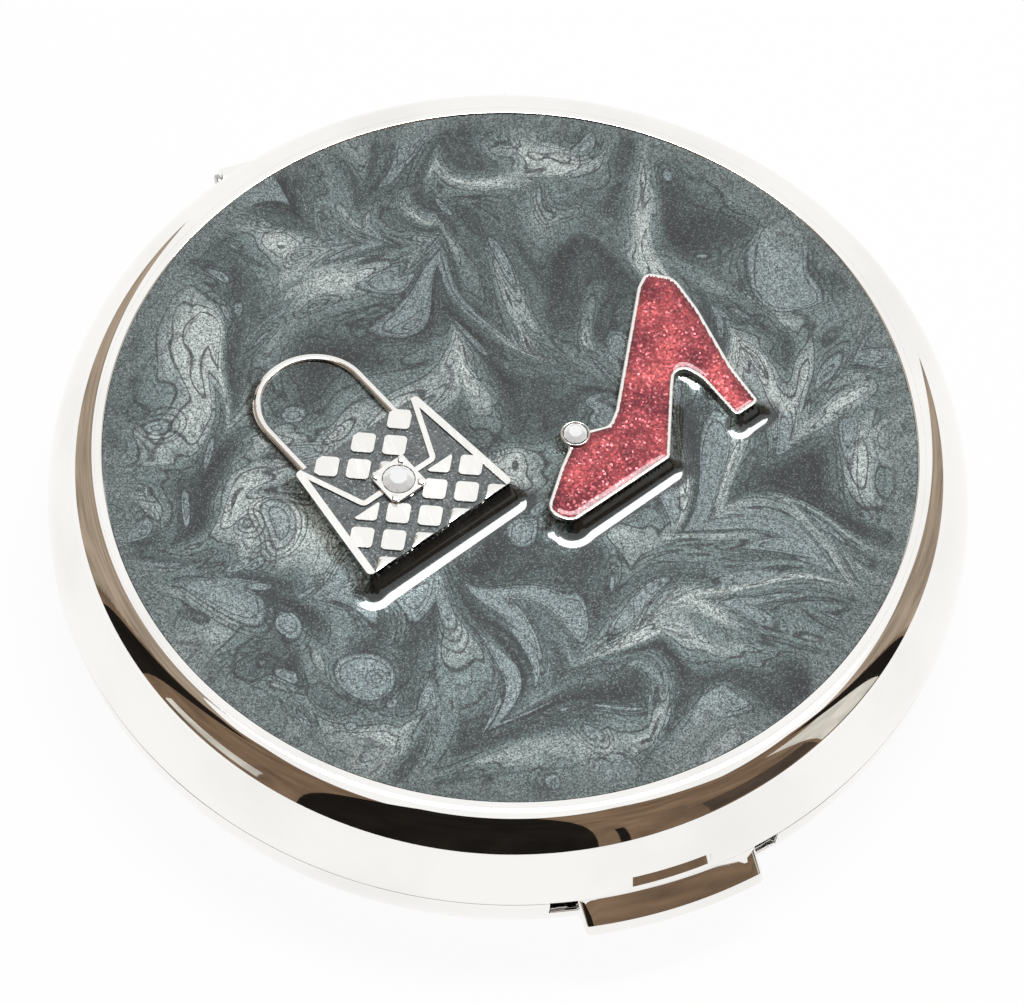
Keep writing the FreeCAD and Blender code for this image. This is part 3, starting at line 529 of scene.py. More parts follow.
def only(kind, geometry):
    """The vertices or the edges among what a bmesh operator made."""
    return [g for g in geometry if isinstance(g, kind)]


def softened(name, node, width, body, slot, finish):
    """A CAD node with its hard edges rounded."""
    bm = merged_copy(node)
    round_edges(bm, width * MM, hard_edges(bm))
    return settle(name, bm, body, slot, finish, node)


# %% [markdown]
# ## Lid and base shells
# Each half of the case is a thin pressed bowl: a flat middle and a side that rolls
# over in a quarter oval. It could be a sphere pressed flat, but a spin of the true
# cross section keeps the wall's thickness and the exact roll that shapes the
# reflections. Where the hinge and the push button sit, the wall is lower, and above
# the button a tab is pressed in for the catch. Each is only another outline for
# that stretch of the turn, so the spin swaps it in. The base's notch is a little
# wider than the thumb bar, which leaves a small dark gap at each of its ends.

# %% Shell sizes
SHELL_WALL = 0.7 * MM
HINGE_ROOM = 1.5 * MM  # notch above and below the hinge axis
BUTTON_ROOM = 0.15 * MM
TAB_WIDTH = 5.9 * MM  # tab pressed in from the lid's wall above the button
TAB_HEIGHT = 1.2 * MM
TAB_DEPTH = 1.0 * MM
TAB_WALL = 0.6 * MM
TAB_RISE = 0.67 * MM  # lower edge above the lid's
RIM_FIT = 0.005 * MM  # room for the plate in the lid's recess
HINGE_END_ROOM = 0.3 * MM
OVAL_STEPS = 48
TURN_GAP = 0.01  # radians that keep an oval's last two points apart
EDGE_ROUND = 0.1 * MM

case_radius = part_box("base_shell")[1].x
plate_low, plate_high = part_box("top_plate")
rim_radius = plate_high.x + RIM_FIT
seat_z = plate_low.z
base_edge_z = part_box("base_shell")[1].z
lid_edge_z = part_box("lid_shell")[0].z
hinge_low, hinge_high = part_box("hinge_pin")
hinge_z = (hinge_low.z + hinge_high.z) / 2
hinge_half = hinge_high.x + HINGE_END_ROOM
button_low, button_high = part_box("push_button")
tab_low_z = lid_edge_z + TAB_RISE
tab_high_z = tab_low_z + TAB_HEIGHT
bulge_z = tab_high_z + TAB_WALL


def oval(flat_radius, flat_z, edge_radius, edge_z, stop_z=None, levels=()):
    """Points of a quarter oval from the flat's rim to the edge, or to a level."""

    def turn_at(z):
        return math.acos((z - edge_z) / (flat_z - edge_z))

    end = turn_at(edge_z if stop_z is None else stop_z)
    turns = [math.pi / 2 * k / OVAL_STEPS for k in range(OVAL_STEPS + 1)]
    turns += [turn_at(z) for z in levels]
    turns = sorted(t for t in turns if t < end - TURN_GAP) + [end]
    run, rise = edge_radius - flat_radius, flat_z - edge_z
    return [(flat_radius + run * math.sin(t), edge_z + rise * math.cos(t)) for t in turns]


def shell_sides(top_z, recess_z, edge_z, stop_z=None, levels=()):
    """The outside and the inside of a shell's rounded wall."""
    inner_z = recess_z + math.copysign(SHELL_WALL, edge_z - top_z)
    outside = oval(rim_radius, top_z, case_radius, edge_z, stop_z, levels)
    inside = oval(rim_radius, inner_z, case_radius - SHELL_WALL, edge_z, stop_z, levels)
    return outside, inside


def shell_outline(outside, inside, recess_z):
    """Half the cross section of a shell, from the axis out, over the edge and back."""
    recess = [(rim_radius, recess_z)] if recess_z != outside[0][1] else []
    return [(0, recess_z), *recess, *outside, *reversed(inside), (0, inside[0][1])]


def pressed(side, high_z, low_z, corners):
    """A wall side with other corners between two of its levels."""
    above = [point for point in side if point[1] > high_z - MERGE_GAP]
    below = [point for point in side if point[1] < low_z + MERGE_GAP]
    return above + corners + below


def notched_shell(full, notches):
    """Spin the full outline, with another one over each (angle, half angle) notch."""
    bm = bmesh.new()
    for i, (middle, half, other) in enumerate(notches):
        spin_outline(bm, other, middle - half, 2 * half)
        next_middle, next_half, _ = notches[(i + 1) % len(notches)]
        end = next_middle - next_half
        end += 2 * math.pi if end <= middle else 0
        spin_outline(bm, full, middle + half, end - middle - half)
    clean(bm)
    return bm


print("case radius", round(case_radius / MM, 2), "rim at", round(rim_z / MM, 2))

# %% Lid
hinge_angle = math.asin(hinge_half / case_radius)
tab_angle = TAB_WIDTH / 2 / case_radius
levels = (bulge_z, tab_high_z, tab_low_z)
lid_sides = shell_sides(rim_z, seat_z, lid_edge_z, levels=levels)
lid_hinge_sides = shell_sides(rim_z, seat_z, lid_edge_z, hinge_z + HINGE_ROOM, levels)
dent_back = case_radius - TAB_DEPTH
bulge_back = dent_back - TAB_WALL
dent = pressed(lid_sides[0], tab_high_z, tab_low_z, [(dent_back, tab_high_z)])
bulge = pressed(lid_sides[1], bulge_z, tab_low_z, [(bulge_back, bulge_z), (bulge_back, tab_high_z)])
lid_notches = [
    (-math.pi / 2, tab_angle, shell_outline(dent, bulge, seat_z)),
    (math.pi / 2, hinge_angle, shell_outline(*lid_hinge_sides, seat_z)),
]
lid_bm = notched_shell(shell_outline(*lid_sides, seat_z), lid_notches)
low_edges = [e for e in hard_edges(lid_bm) if max(v.co.z for v in e.verts) < bulge_z]
round_edges(lid_bm, EDGE_ROUND, low_edges)
settle("lid_bowl", lid_bm, "lid", "plated_case", plated_case, "lid_shell")

# %% Base
button_angle = math.asin((button_high.x - BUTTON_ROOM) / case_radius)
base_hinge_sides = shell_sides(0, 0, base_edge_z, hinge_z - HINGE_ROOM)
base_button_sides = shell_sides(0, 0, base_edge_z, button_low.z - BUTTON_ROOM)
base_notches = [
    (-math.pi / 2, button_angle, shell_outline(*base_button_sides, 0)),
    (math.pi / 2, hinge_angle, shell_outline(*base_hinge_sides, 0)),
]
base_bm = notched_shell(shell_outline(*shell_sides(0, 0, base_edge_z), 0), base_notches)
round_edges(base_bm, EDGE_ROUND, hard_edges(base_bm))
settle("base_bowl", base_bm, "base", "plated_case", plated_case, "base_shell")

# %% [markdown]
# ## Top plate
# The plate is a shallow round tray, glued into the lid. Only its narrow rim shows,
# as the bright ring round the enamel. It is turned like the shells. The rim's inner
# edge is rounded to catch a line of light; its outer edge stays sharp, because it
# was burnished down against the lid until no seam showed.

# %% Top plate
PLATE_FLOOR = 0.5 * MM
RING_WIDTH = 0.55 * MM
RING_EDGE = 0.12 * MM
FIELD_GAP = 0.02 * MM
ring_inner = plate_high.x - RING_WIDTH
floor_z = plate_low.z + PLATE_FLOOR
plate_outline = [
    (0, plate_low.z),
    (plate_high.x, plate_low.z),
    (plate_high.x, rim_z),
    (ring_inner, rim_z),
    (ring_inner, floor_z),
    (0, floor_z),
]
plate_bm = bmesh.new()
spin_outline(plate_bm, plate_outline)
clean(plate_bm)
ring_middle = plate_high.x - RING_WIDTH / 2
ring_edges = [e for e in hard_edges(plate_bm) if all(v.co.z > floor_z + FIELD_GAP for v in e.verts)]
ring_edges = [e for e in ring_edges if all(v.co.xy.length < ring_middle for v in e.verts)]
round_edges(plate_bm, RING_EDGE, ring_edges, segments=3)
settle("plate_ring", plate_bm, "lid", "plated_case", plated_case, "top_plate")

# %% [markdown]
# ## Marbled enamel, its form
# The field is poured resin, so its surface is not flat: it climbs the ring and
# every charm, as water climbs a glass. Beside a charm the climb falls off with the
# distance, fast at first and then ever slower, and it is highest on the side that
# the plate leaned to while it set. Where it runs out it mirrors the lamp, which draws
# the white line that follows each charm. Between that line and the wall the colour is
# painted near black, a painted dark reflection of the room in the steep climb, so each
# point also keeps how dark it is painted, in an attribute for the finish.
# A sculpted sheet could do this, but a fine spun disc whose points are lifted by
# their distance to the charms' own walls follows them exactly.

# %% Enamel field
FIELD_RINGS = 150
FIELD_STEPS = 480
CLIMB_REACH = 5.0 * MM
CLIMB_RUN = 0.7 * MM  # run in which the climb falls to about a third
WIRE_RUN = 0.3 * MM
RING_ROUND = 115.0 * MM
CLIMB_LEAST = 0.3  # share of the climb on the high side
PAINTED_DARK_RISE = (0.035 * MM, 0.075 * MM)  # climb over which the painted dark reflection comes in
CLIMB_INSIDE = 0.25 * MM  # how fast the hidden surface falls under a charm
CLIMB_JOIN = 3  # the higher, the less two climbs add up where they meet
CLIMB_BESIDE = 0.1  # how far past square to the lean a wall still has some climb
SHOE_ARCH = Vector((13.0 * MM, -3.2 * MM))  # under the shoe's arch, in the plate's frame
ARCH_REACH = 2.8 * MM
RING_CLIMB = 0.28 * MM
BAG_CLIMB = 1.12 * MM
HANDLE_CLIMB = 0.35 * MM
SHOE_CLIMB = 0.76 * MM
PLATE_TURN = math.radians(19.3)
WIRE_RADIUS = 0.3 * MM  # of the bag's handle
FIELD_DROP = 0.35 * MM  # level of the field below the ring
PROBE_RISE = 0.25 * MM  # level above the plate's floor where the gap to a wall is taken
BAG_BODY_RISE = 0.7 * MM  # only the bag's body stands this high over the field
HANDLE_CLEAR = 0.5 * MM
TOLERANCE = 0.01 * MM

field_radius = ring_inner - FIELD_GAP
field_z = rim_z - FIELD_DROP
probe_z = floor_z + PROBE_RISE
to_plate = Matrix.Rotation(-PLATE_TURN, 3, "Z")
from_plate = Matrix.Rotation(PLATE_TURN, 3, "Z")
LEAN = from_plate @ Vector((0, -1, 0))
bag_points = [to_plate @ v.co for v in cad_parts["handbag_charm"].data.vertices]
bag_top_y = max(p.y for p in bag_points if p.z > field_z + BAG_BODY_RISE)
handle_points = [p for p in bag_points if p.y > bag_top_y + HANDLE_CLEAR]
handle_left = min(p.x for p in handle_points)
handle_right = max(p.x for p in handle_points)
handle_x = (handle_left + handle_right) / 2
handle_half = (handle_right - handle_left) / 2
bend_y = max(p.y for p in handle_points) - handle_half


def wall_tree(node, wanted=None):
    """A search tree over a CAD node's faces, or over those that are wanted."""
    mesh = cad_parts[node].data
    faces = [f for f in mesh.polygons if wanted is None or wanted(to_plate @ f.center)]
    return BVHTree.FromPolygons([v.co for v in mesh.vertices], [tuple(f.vertices) for f in faces])


def covers(tree, spot):
    """Whether a tree's faces lie on the plumb line through a spot."""
    return tree.ray_cast(Vector((spot.x, spot.y, HIGH_UP)), Vector((0, 0, -1)))[0] is not None


def hollow(gap, height, bend):
    """Height of a hollow curve that starts from a wall and runs out flat."""
    run = math.sqrt(bend**2 - (bend - height) ** 2)
    return bend - math.sqrt(bend**2 - max(run - gap, 0) ** 2)


def on_the_low_side(spot, wall):
    """A climb that is highest on the side that the plate leaned to while it set."""
    facing = (spot - wall).xy.normalized() @ LEAN.xy
    lean = min(max((facing + CLIMB_BESIDE) / (1 + CLIMB_BESIDE), 0), 1)
    return lean**2 * (3 - 2 * lean)


def under_the_shoe(spot, wall):
    """A climb on the low side that stays shallow in the arch between sole and heel."""
    from_arch = ((to_plate @ spot).xy - SHOE_ARCH).length
    return on_the_low_side(spot, wall) * min(from_arch / ARCH_REACH, 1) ** 2


def left_of_handle(spot, wall):
    """A climb on the outer left side of the bag's handle only."""
    place = to_plate @ spot
    from_middle = Vector((place.x - handle_x, max(place.y - bend_y, 0)))
    inside = from_middle.length < handle_half - WIRE_RADIUS
    return 0.0 if inside else min(max(-from_middle.x / handle_half, 0), 1)


def climb(spot, tree, height, run, least, side):
    """How far the enamel stands up beside or under a charm, and how dark it is painted there."""
    wall, _, _, gap = tree.find_nearest(Vector((spot.x, spot.y, probe_z)), CLIMB_REACH)
    if gap is None:
        return 0.0, 0.0
    share = side(spot, wall)
    height *= least + (1 - least) * share
    rise = height * math.exp(-gap / (CLIMB_INSIDE if covers(tree, spot) else run))
    start, full = PAINTED_DARK_RISE
    return rise, share**2 * min(max((rise - start) / (full - start), 0), 1)


bag_walls = wall_tree("handbag_charm", lambda middle: middle.y < bag_top_y + TOLERANCE)
handle_walls = wall_tree("handbag_charm", lambda middle: middle.y > bag_top_y + TOLERANCE)
shoe_walls = wall_tree("shoe_charm")
CLIMBS = (
    (bag_walls, BAG_CLIMB, CLIMB_RUN, CLIMB_LEAST, on_the_low_side),
    (handle_walls, HANDLE_CLIMB, WIRE_RUN, 0, left_of_handle),
    (shoe_walls, SHOE_CLIMB, CLIMB_RUN, CLIMB_LEAST, under_the_shoe),
)
field_bm = bmesh.new()
field_radii = [field_radius * k / FIELD_RINGS for k in range(FIELD_RINGS + 1)]
spokes = [field_bm.verts.new((r, 0, field_z)) for r in field_radii]
spokes += [field_bm.verts.new((r, 0, floor_z + FIELD_GAP)) for r in (field_radius, 0)]
spoke_edges = [field_bm.edges.new(pair) for pair in zip(spokes, spokes[1:])]
whole_turn = {"axis": (0, 0, 1), "angle": 2 * math.pi, "steps": FIELD_STEPS, "use_merge": True}
bmesh.ops.spin(field_bm, geom=spokes + spoke_edges, **whole_turn)
clean(field_bm)
# painted shade: how dark each point is painted beside the charms, a painted dark reflection of the room
painted_dark_band = field_bm.verts.layers.float.new("climb")
for v in field_bm.verts:
    if v.co.z > field_z - FIELD_GAP:
        rises, painted_darks = zip(*(climb(v.co, *charm) for charm in CLIMBS))
        v[painted_dark_band] = max(painted_darks)
        rises += (hollow(field_radius - v.co.xy.length, RING_CLIMB, RING_ROUND),)
        v.co.z += sum((rise / MM) ** CLIMB_JOIN for rise in rises) ** (1 / CLIMB_JOIN) * MM
print("field lifted, highest point", round(max(v.co.z for v in field_bm.verts) / MM, 2))

# %% [markdown]
# ## Marbled enamel, its finish
# Two greys were dropped into clear resin and drawn through with a needle, which
# leaves long curls, round eddies and thin dark threads. An image could be painted,
# but the same thing can be done to the pattern's coordinates: drag them with a soft
# noise, carry them along a few needle strokes, turn them round the middle of
# scattered cells, and only then look up the tones. Late drops with thin skins, a fine
# crackle and a pale shore along the ring are laid over it. The mica makes it half
# metallic, so that its colour holds from all sides, and a clear coat gives the wet
# shine. A few flakes are painted pale as painted glints. Where the climb attribute
# says so, the colour is painted near black, a painted dark reflection beside the charms.

# %% Marbled finish
PULL = (16.0, 11.0)  # size of the soft drag and how far it pulls, in millimetres
STROKES = (  # angle in degrees, distance from the middle, shift and width in millimetres
    (25, -14.0, 6.0, 2.4),
    (70, 5.0, -6.0, 2.8),
    (125, -6.0, 6.5, 2.2),
    (160, 13.0, -5.5, 2.8),
    (50, 19.0, 5.5, 2.2),
    (95, -18.0, -6.0, 2.4),
)
EDDY = (13.0, 2.6)  # size of the eddies in millimetres and their turn in radians
ZONE_SIZE = 7.0
THREADS = 15.0  # threads from the darkest zone to the lightest
DROPS = ((6.5, 0.2), (3.2, 0.4))  # cell in millimetres, share of cells left empty
DROP_SKINS = ((0.0, 0.17), (0.38, 0.10), (0.74, 0.09), (-0.42, 0.09))  # how far out and how wide
CRACKLE = 1.2  # size of the crackle in millimetres
BAND_INNER = 26.6  # radius in millimetres where the pale band along the ring starts
BAND_SOFT = 1.0
BAND_WANDER = 1.8  # how far its shore strays from a circle
SHORE_WIDTH = 0.16
MARBLE_TONES = (
    (0.34, (0.010, 0.014, 0.015)),
    (0.44, (0.056, 0.079, 0.079)),
    (0.54, (0.138, 0.183, 0.180)),
    (0.66, (0.42, 0.47, 0.455)),
)
THREAD_INK = (0.018, 0.024, 0.026, 1)
DROP_GREY = (0.21, 0.26, 0.268, 1)
SKIN_INK = (0.016, 0.022, 0.025, 1)
CRACK_INK = (0.02, 0.028, 0.03, 1)
BAND_GREY = (0.105, 0.13, 0.128, 1)
# painted glint: the pale colour that the brightest flakes are painted, standing in for flakes that catch
# the light
PAINTED_GLINT_WHITE = (0.55, 0.57, 0.55, 1)
# painted dark reflection: near black that stands in for the dark room mirrored in the steep climb
PAINTED_DARK_REFLECTION = (0.008, 0.009, 0.009, 1)


def scaled(tree, vector, amount):
    """A vector made longer or shorter by a value."""
    made = put(tree, "VectorMath", {0: vector}, operation="SCALE")
    if isinstance(amount, bpy.types.NodeSocket):
        tree.links.new(amount, made.inputs["Scale"])
    else:
        made.inputs["Scale"].default_value = amount
    return made.outputs[0]


def eddy(tree, spot, cell, turn):
    """Turn the coordinates round the middle of each cell, less towards its edge."""
    place = {"Vector": spot, "Scale": 1 / cell}
    near = put(tree, "TexVoronoi", place, voronoi_dimensions="2D", feature="F1").outputs
    second = put(tree, "TexVoronoi", place, voronoi_dimensions="2D", feature="F2").outputs
    room = math_node(tree, "SUBTRACT", second["Distance"], near["Distance"])
    fade = span(tree, room, 0.0, 0.75, 0.0, turn)
    chance = put(tree, "SeparateColor", {0: near["Color"]}).outputs[0]
    side = span(tree, chance, 0.0, 1.0, -1.0, 1.0, smooth=False)
    angle = math_node(tree, "MULTIPLY", fade, side)
    around = {"Vector": spot, "Center": near["Position"], "Angle": angle}
    return put(tree, "VectorRotate", around, rotation_type="Z_AXIS").outputs[0]


def drag(tree, spot, size, amount):
    """Push the coordinates about with a soft noise."""
    noise = put(tree, "TexNoise", {"Vector": spot, "Scale": 1 / size, "Detail": 1.0}).outputs["Color"]
    push = vector_node(tree, "SUBTRACT", noise, NOISE_MIDDLE)
    return vector_node(tree, "ADD", spot, scaled(tree, push, amount))


def stroke(tree, flow, degrees, offset, shift, width):
    """Draw a needle through: what lies near its line is carried along it."""
    angle = math.radians(degrees)
    along = (math.cos(angle), math.sin(angle), 0)
    sideways = {0: flow, 1: (-along[1], along[0], 0)}
    aside = put(tree, "VectorMath", sideways, operation="DOT_PRODUCT").outputs["Value"]
    gap = math_node(tree, "ABSOLUTE", math_node(tree, "SUBTRACT", aside, offset))
    pull = math_node(tree, "EXPONENT", math_node(tree, "MULTIPLY", gap, -1 / width))
    carried = scaled(tree, along, math_node(tree, "MULTIPLY", pull, shift))
    return vector_node(tree, "ADD", flow, carried)


def drops(tree, flow, cell, empty):
    """Drawn-out drops: a mask for their bodies and one for the threads round them."""
    drop = put(tree, "TexVoronoi", {"Vector": flow, "Scale": 1 / cell}, voronoi_dimensions="2D").outputs
    chance = put(tree, "SeparateColor", {0: drop["Color"]}).outputs[1]
    reach = span(tree, chance, empty, 1.0, -0.2, 0.42, smooth=False)
    depth = math_node(tree, "SUBTRACT", reach, drop["Distance"])
    body = span(tree, depth, 0.0, 0.05, 0.0, 1.0)
    skins = []
    for offset, width in DROP_SKINS:
        skin = math_node(tree, "ABSOLUTE", math_node(tree, "ADD", depth, offset / cell))
        skins.append(span(tree, skin, 0.0, width / cell, 1.0, 0.0))
    thread = skins[0]
    for skin in skins[1:]:
        thread = math_node(tree, "MAXIMUM", thread, skin)
    return body, thread


def marbling(tree, spot):
    """The drawn tones with their threads, drops and crackle, and the zones they follow."""
    flow = drag(tree, spot, *PULL)
    for needle in STROKES:
        flow = stroke(tree, flow, *needle)
    flow = eddy(tree, flow, *EDDY)
    zone = put(tree, "TexNoise", {"Vector": flow, "Scale": 1 / ZONE_SIZE, "Detail": 2.0}).outputs[0]
    colour = tones(tree, zone, MARBLE_TONES)
    wave = math_node(tree, "SINE", math_node(tree, "MULTIPLY", zone, THREADS * 2 * math.pi))
    busy = put(tree, "TexNoise", {"Vector": spot, "Scale": 0.09, "Detail": 0.0}).outputs[0]
    thread = span(tree, wave, 0.7, 1.0, 0.0, 0.85)
    thread = math_node(tree, "MULTIPLY", thread, span(tree, busy, 0.30, 0.44, 0.25, 1.0))
    colour = blend(tree, "MIX", thread, colour, THREAD_INK)
    for cell, empty in DROPS:
        body, skin = drops(tree, flow, cell, empty)
        colour = blend(tree, "MIX", math_node(tree, "MULTIPLY", body, 0.75), colour, DROP_GREY)
        colour = blend(tree, "MIX", math_node(tree, "MULTIPLY", skin, 0.8), colour, SKIN_INK)
    place = {"Vector": flow, "Scale": 1 / CRACKLE}
    cracks = put(tree, "TexVoronoi", place, voronoi_dimensions="2D", feature="DISTANCE_TO_EDGE")
    crack = span(tree, cracks.outputs["Distance"], 0.0, 0.07, 0.4, 0.0)
    return blend(tree, "MIX", crack, colour, CRACK_INK), zone


def shore_band(tree, colour, spot, zone):
    """The pale band along the ring and the thin line where it starts."""
    radius = put(tree, "VectorMath", {0: spot}, operation="LENGTH").outputs["Value"]
    stray = span(tree, zone, 0.3, 0.7, -BAND_WANDER, BAND_WANDER, smooth=False)
    shore = math_node(tree, "ADD", radius, stray)
    band = span(tree, shore, BAND_INNER, BAND_INNER + BAND_SOFT, 0.0, 0.65)
    colour = blend(tree, "MIX", band, colour, BAND_GREY)
    line = math_node(tree, "ABSOLUTE", math_node(tree, "SUBTRACT", shore, BAND_INNER))
    return blend(tree, "MIX", span(tree, line, 0.0, SHORE_WIDTH, 0.5, 0.0), colour, THREAD_INK)


def make_marbled_enamel():
    coat = {"Coat_Weight": 1.0, "Coat_Roughness": 0.01, "Coat_IOR": 1.6}
    made, tree, shader = finish_of("marbled_enamel", Metallic=0.4, Specular_IOR_Level=0.1, **coat)
    spot = object_spot(tree, (1, 1, 0))
    colour, zone = marbling(tree, spot)
    colour = shore_band(tree, colour, spot, zone)
    mica = use_group(tree, mica_group, Spot=spot, Flake_Size=0.09, Lean=0.02)
    grain = span(tree, mica["Shine"], 0.0, 1.0, 0.25, 1.75, smooth=False)
    grey = put(tree, "CombineColor", {0: grain, 1: grain, 2: grain}).outputs[0]
    colour = blend(tree, "MULTIPLY", 1.0, colour, grey)
    # painted glints: the brightest flakes are mixed towards a pale colour
    glint = span(tree, mica["Shine"], 0.8, 1.0, 0.0, 0.14)
    colour = blend(tree, "MIX", glint, colour, PAINTED_GLINT_WHITE)
    # painted dark reflection: where the climb is steep the colour is painted near black
    painted_dark_band = put(tree, "Attribute", attribute_name="climb").outputs["Fac"]
    painted_dark_share = span(tree, painted_dark_band, 0.0, 1.0, 0.0, 0.93, smooth=False)
    colour = blend(tree, "MIX", painted_dark_share, colour, PAINTED_DARK_REFLECTION)
    tree.links.new(colour, shader.inputs["Base Color"])
    tree.links.new(span(tree, zone, 0.3, 0.7, 0.22, 0.17), shader.inputs["Roughness"])
    tree.links.new(mica["Normal"], shader.inputs["Normal"])
    return made


marbled_enamel = make_marbled_enamel()
settle("enamel_field", field_bm, "lid", "marbled_enamel", marbled_enamel, "marbled_enamel")

# %% [markdown]
# ## Handbag charm
# The bag is one casting with a quilted front: bright lozenges stand in grooves
# that were flooded with grey enamel and wiped flat. Its solid already has every
# lozenge, so a softened copy is used; only the square handle of the solid is cut
# off, because the real one is a wire, pressed flat and half sunk in the enamel. It is
# a flattened ring that is drawn out for one leg, spun round the bend and drawn out
# again for the other, then tipped so that its feet stand higher than its bend.

# %% Handbag
LOZENGE_ROUND = 0.04 * MM
CUT_GAP = 0.005 * MM
WIRE_SIDES = 16
WIRE_FLAT = 0.45  # height of the wire as a share of its width
WIRE_SINK = 0.2 * MM
WIRE_FOOT = 0.2 * MM  # how far its sides reach down into the enamel
WIRE_SPREAD = 0.2 * MM
WIRE_RISE = 0.5 * MM  # how much higher the handle's feet are than its bend
WIRE_ROOT = 0.3 * MM  # how far its legs reach into the bag
BEND_STEPS = 40

bag_bm = merged_copy("handbag_charm")
top_edge = from_plate @ Vector((0, bag_top_y + CUT_GAP, 0))
cut_off(bag_bm, top_edge, from_plate @ Vector((0, 1, 0)))
round_edges(bag_bm, LOZENGE_ROUND, hard_edges(bag_bm))
settle("bag_casting", bag_bm, "lid", "plated_charm", plated_charm, "handbag_charm")

# %% Handle
handle_top_z = max(p.z for p in handle_points) - WIRE_SINK
bend_radius = handle_half - WIRE_RADIUS + WIRE_SPREAD
bend_y -= WIRE_SPREAD
handle_x -= WIRE_SPREAD
wire_bm = bmesh.new()
ring = bmesh.ops.create_circle(wire_bm, segments=WIRE_SIDES, radius=WIRE_RADIUS)["verts"]
bmesh.ops.scale(wire_bm, verts=ring, vec=(1, WIRE_FLAT, 1))
bmesh.ops.translate(wire_bm, verts=[v for v in ring if v.co.y < 0], vec=(0, -WIRE_FOOT, 0))
stand = Matrix.Rotation(math.pi / 2, 4, "X")
foot_z = handle_top_z - WIRE_RADIUS * WIRE_FLAT
foot = Vector((handle_x + bend_radius, bag_top_y - WIRE_ROOT, foot_z))
bmesh.ops.transform(wire_bm, matrix=Matrix.Translation(foot) @ stand, verts=ring)
leg = bmesh.ops.extrude_edge_only(wire_bm, edges=wire_bm.edges[:])["geom"]
leg_verts = only(bmesh.types.BMVert, leg)
leg_edges = only(bmesh.types.BMEdge, leg)
bmesh.ops.translate(wire_bm, verts=leg_verts, vec=(0, bend_y - foot.y, 0))
bend_middle = Vector((handle_x, bend_y, foot_z))
half_turn = {"cent": bend_middle, "axis": (0, 0, 1), "angle": math.pi, "steps": BEND_STEPS}
arch = bmesh.ops.spin(wire_bm, geom=leg_verts + leg_edges, **half_turn)["geom_last"]
last = bmesh.ops.extrude_edge_only(wire_bm, edges=only(bmesh.types.BMEdge, arch))["geom"]
last_verts = only(bmesh.types.BMVert, last)
bmesh.ops.translate(wire_bm, verts=last_verts, vec=(0, foot.y - bend_y, 0))
clean(wire_bm)
slope = WIRE_RISE / (bend_y + bend_radius - foot.y)
bmesh.ops.rotate(wire_bm, verts=wire_bm.verts, cent=bend_middle, matrix=Matrix.Rotation(-slope, 3, "X"))
bmesh.ops.rotate(wire_bm, verts=wire_bm.verts, matrix=from_plate)
settle("bag_handle", wire_bm, "lid", "plated_charm", plated_charm)

# %% [markdown]
# ## Groove enamel
# The grooves hold the same grey mica enamel, without the marbling. The solid's
# flat fill is right as it stands, so it only gets a finish of its own.


# %% Groove enamel
def make_groove_enamel():
    made, tree, shader = finish_of("groove_enamel", Coat_Weight=0.6, Coat_Roughness=0.08, Metallic=0.45)
    spot = object_spot(tree)
    cloud = put(tree, "TexNoise", {"Vector": spot, "Scale": 0.9, "Detail": 4.0}).outputs[0]
    colour = tones(tree, cloud, ((0.3, (0.055, 0.066, 0.07)), (0.7, (0.12, 0.135, 0.139))))
    mica = use_group(tree, mica_group, Spot=spot, Flake_Size=0.1, Lean=0.5)
    glint = span(tree, mica["Shine"], 0.85, 1.0, 0.0, 0.5)
    tree.links.new(blend(tree, "MIX", glint, colour, (0.4, 0.42, 0.42, 1)), shader.inputs["Base Color"])
    tree.links.new(span(tree, cloud, 0.3, 0.7, 0.42, 0.55), shader.inputs["Roughness"])
    tree.links.new(mica["Normal"], shader.inputs["Normal"])
    return made


groove_enamel = make_groove_enamel()
grooves = merged_copy("handbag_enamel")
settle("bag_grooves", grooves, "lid", "groove_enamel", groove_enamel, "handbag_enamel")

# %% [markdown]
# ## Shoe charm
# The shoe is a thin bright wall filled with crimson enamel. The wall is a softened
# copy of its solid. The fill stands a little proud in the middle, as a drop does,
# and laps over the wall's inner half, which leaves only a thin bright line of it. It
# could be a subdivided cushion, but a fine grid keeps the outline: points beyond the
# lap are dropped, the rest are raised by their distance to the wall, and the sheet
# is thickened down to the floor.

# %% Shoe
SHOE_ROUND = 0.08
FILL_GRID = 0.09 * MM
FILL_CROWN = 0.16 * MM
FILL_CROWN_RUN = 1.0 * MM
FILL_EDGE = 0.1 * MM  # level of the edge, which laps over the wall, above the solid's
FILL_EDGE_SLOPE = 0.25
FILL_LAP = 0.16 * MM
FILL_MARGIN = 1.05  # how much larger than the fill the grid starts
RED_TONES = (
    (0.35, (0.115, 0.012, 0.019)),
    (0.53, (0.235, 0.036, 0.043)),
    (0.68, (0.39, 0.068, 0.072)),
)


def make_red_enamel():
    made, tree, shader = finish_of("red_enamel", Coat_Weight=0.6, Coat_Roughness=0.05, Metallic=0.85)
    spot = object_spot(tree)
    cloud = put(tree, "TexNoise", {"Vector": spot, "Scale": 0.35, "Detail": 3.0}).outputs[0]
    colour = tones(tree, cloud, RED_TONES)
    mica = use_group(tree, mica_group, Spot=spot, Flake_Size=0.14, Lean=0.25)
    shine = span(tree, mica["Shine"], 0.75, 1.0, 0.0, 0.5)
    colour = blend(tree, "MIX", shine, colour, (0.55, 0.19, 0.20, 1))
    shade = span(tree, mica["Shine"], 0.25, 0.0, 0.0, 0.6)
    colour = blend(tree, "MIX", shade, colour, (0.05, 0.004, 0.010, 1))
    tree.links.new(colour, shader.inputs["Base Color"])
    tree.links.new(span(tree, mica["Shine"], 0.0, 1.0, 0.5, 0.3), shader.inputs["Roughness"])
    tree.links.new(mica["Normal"], shader.inputs["Normal"])
    return made


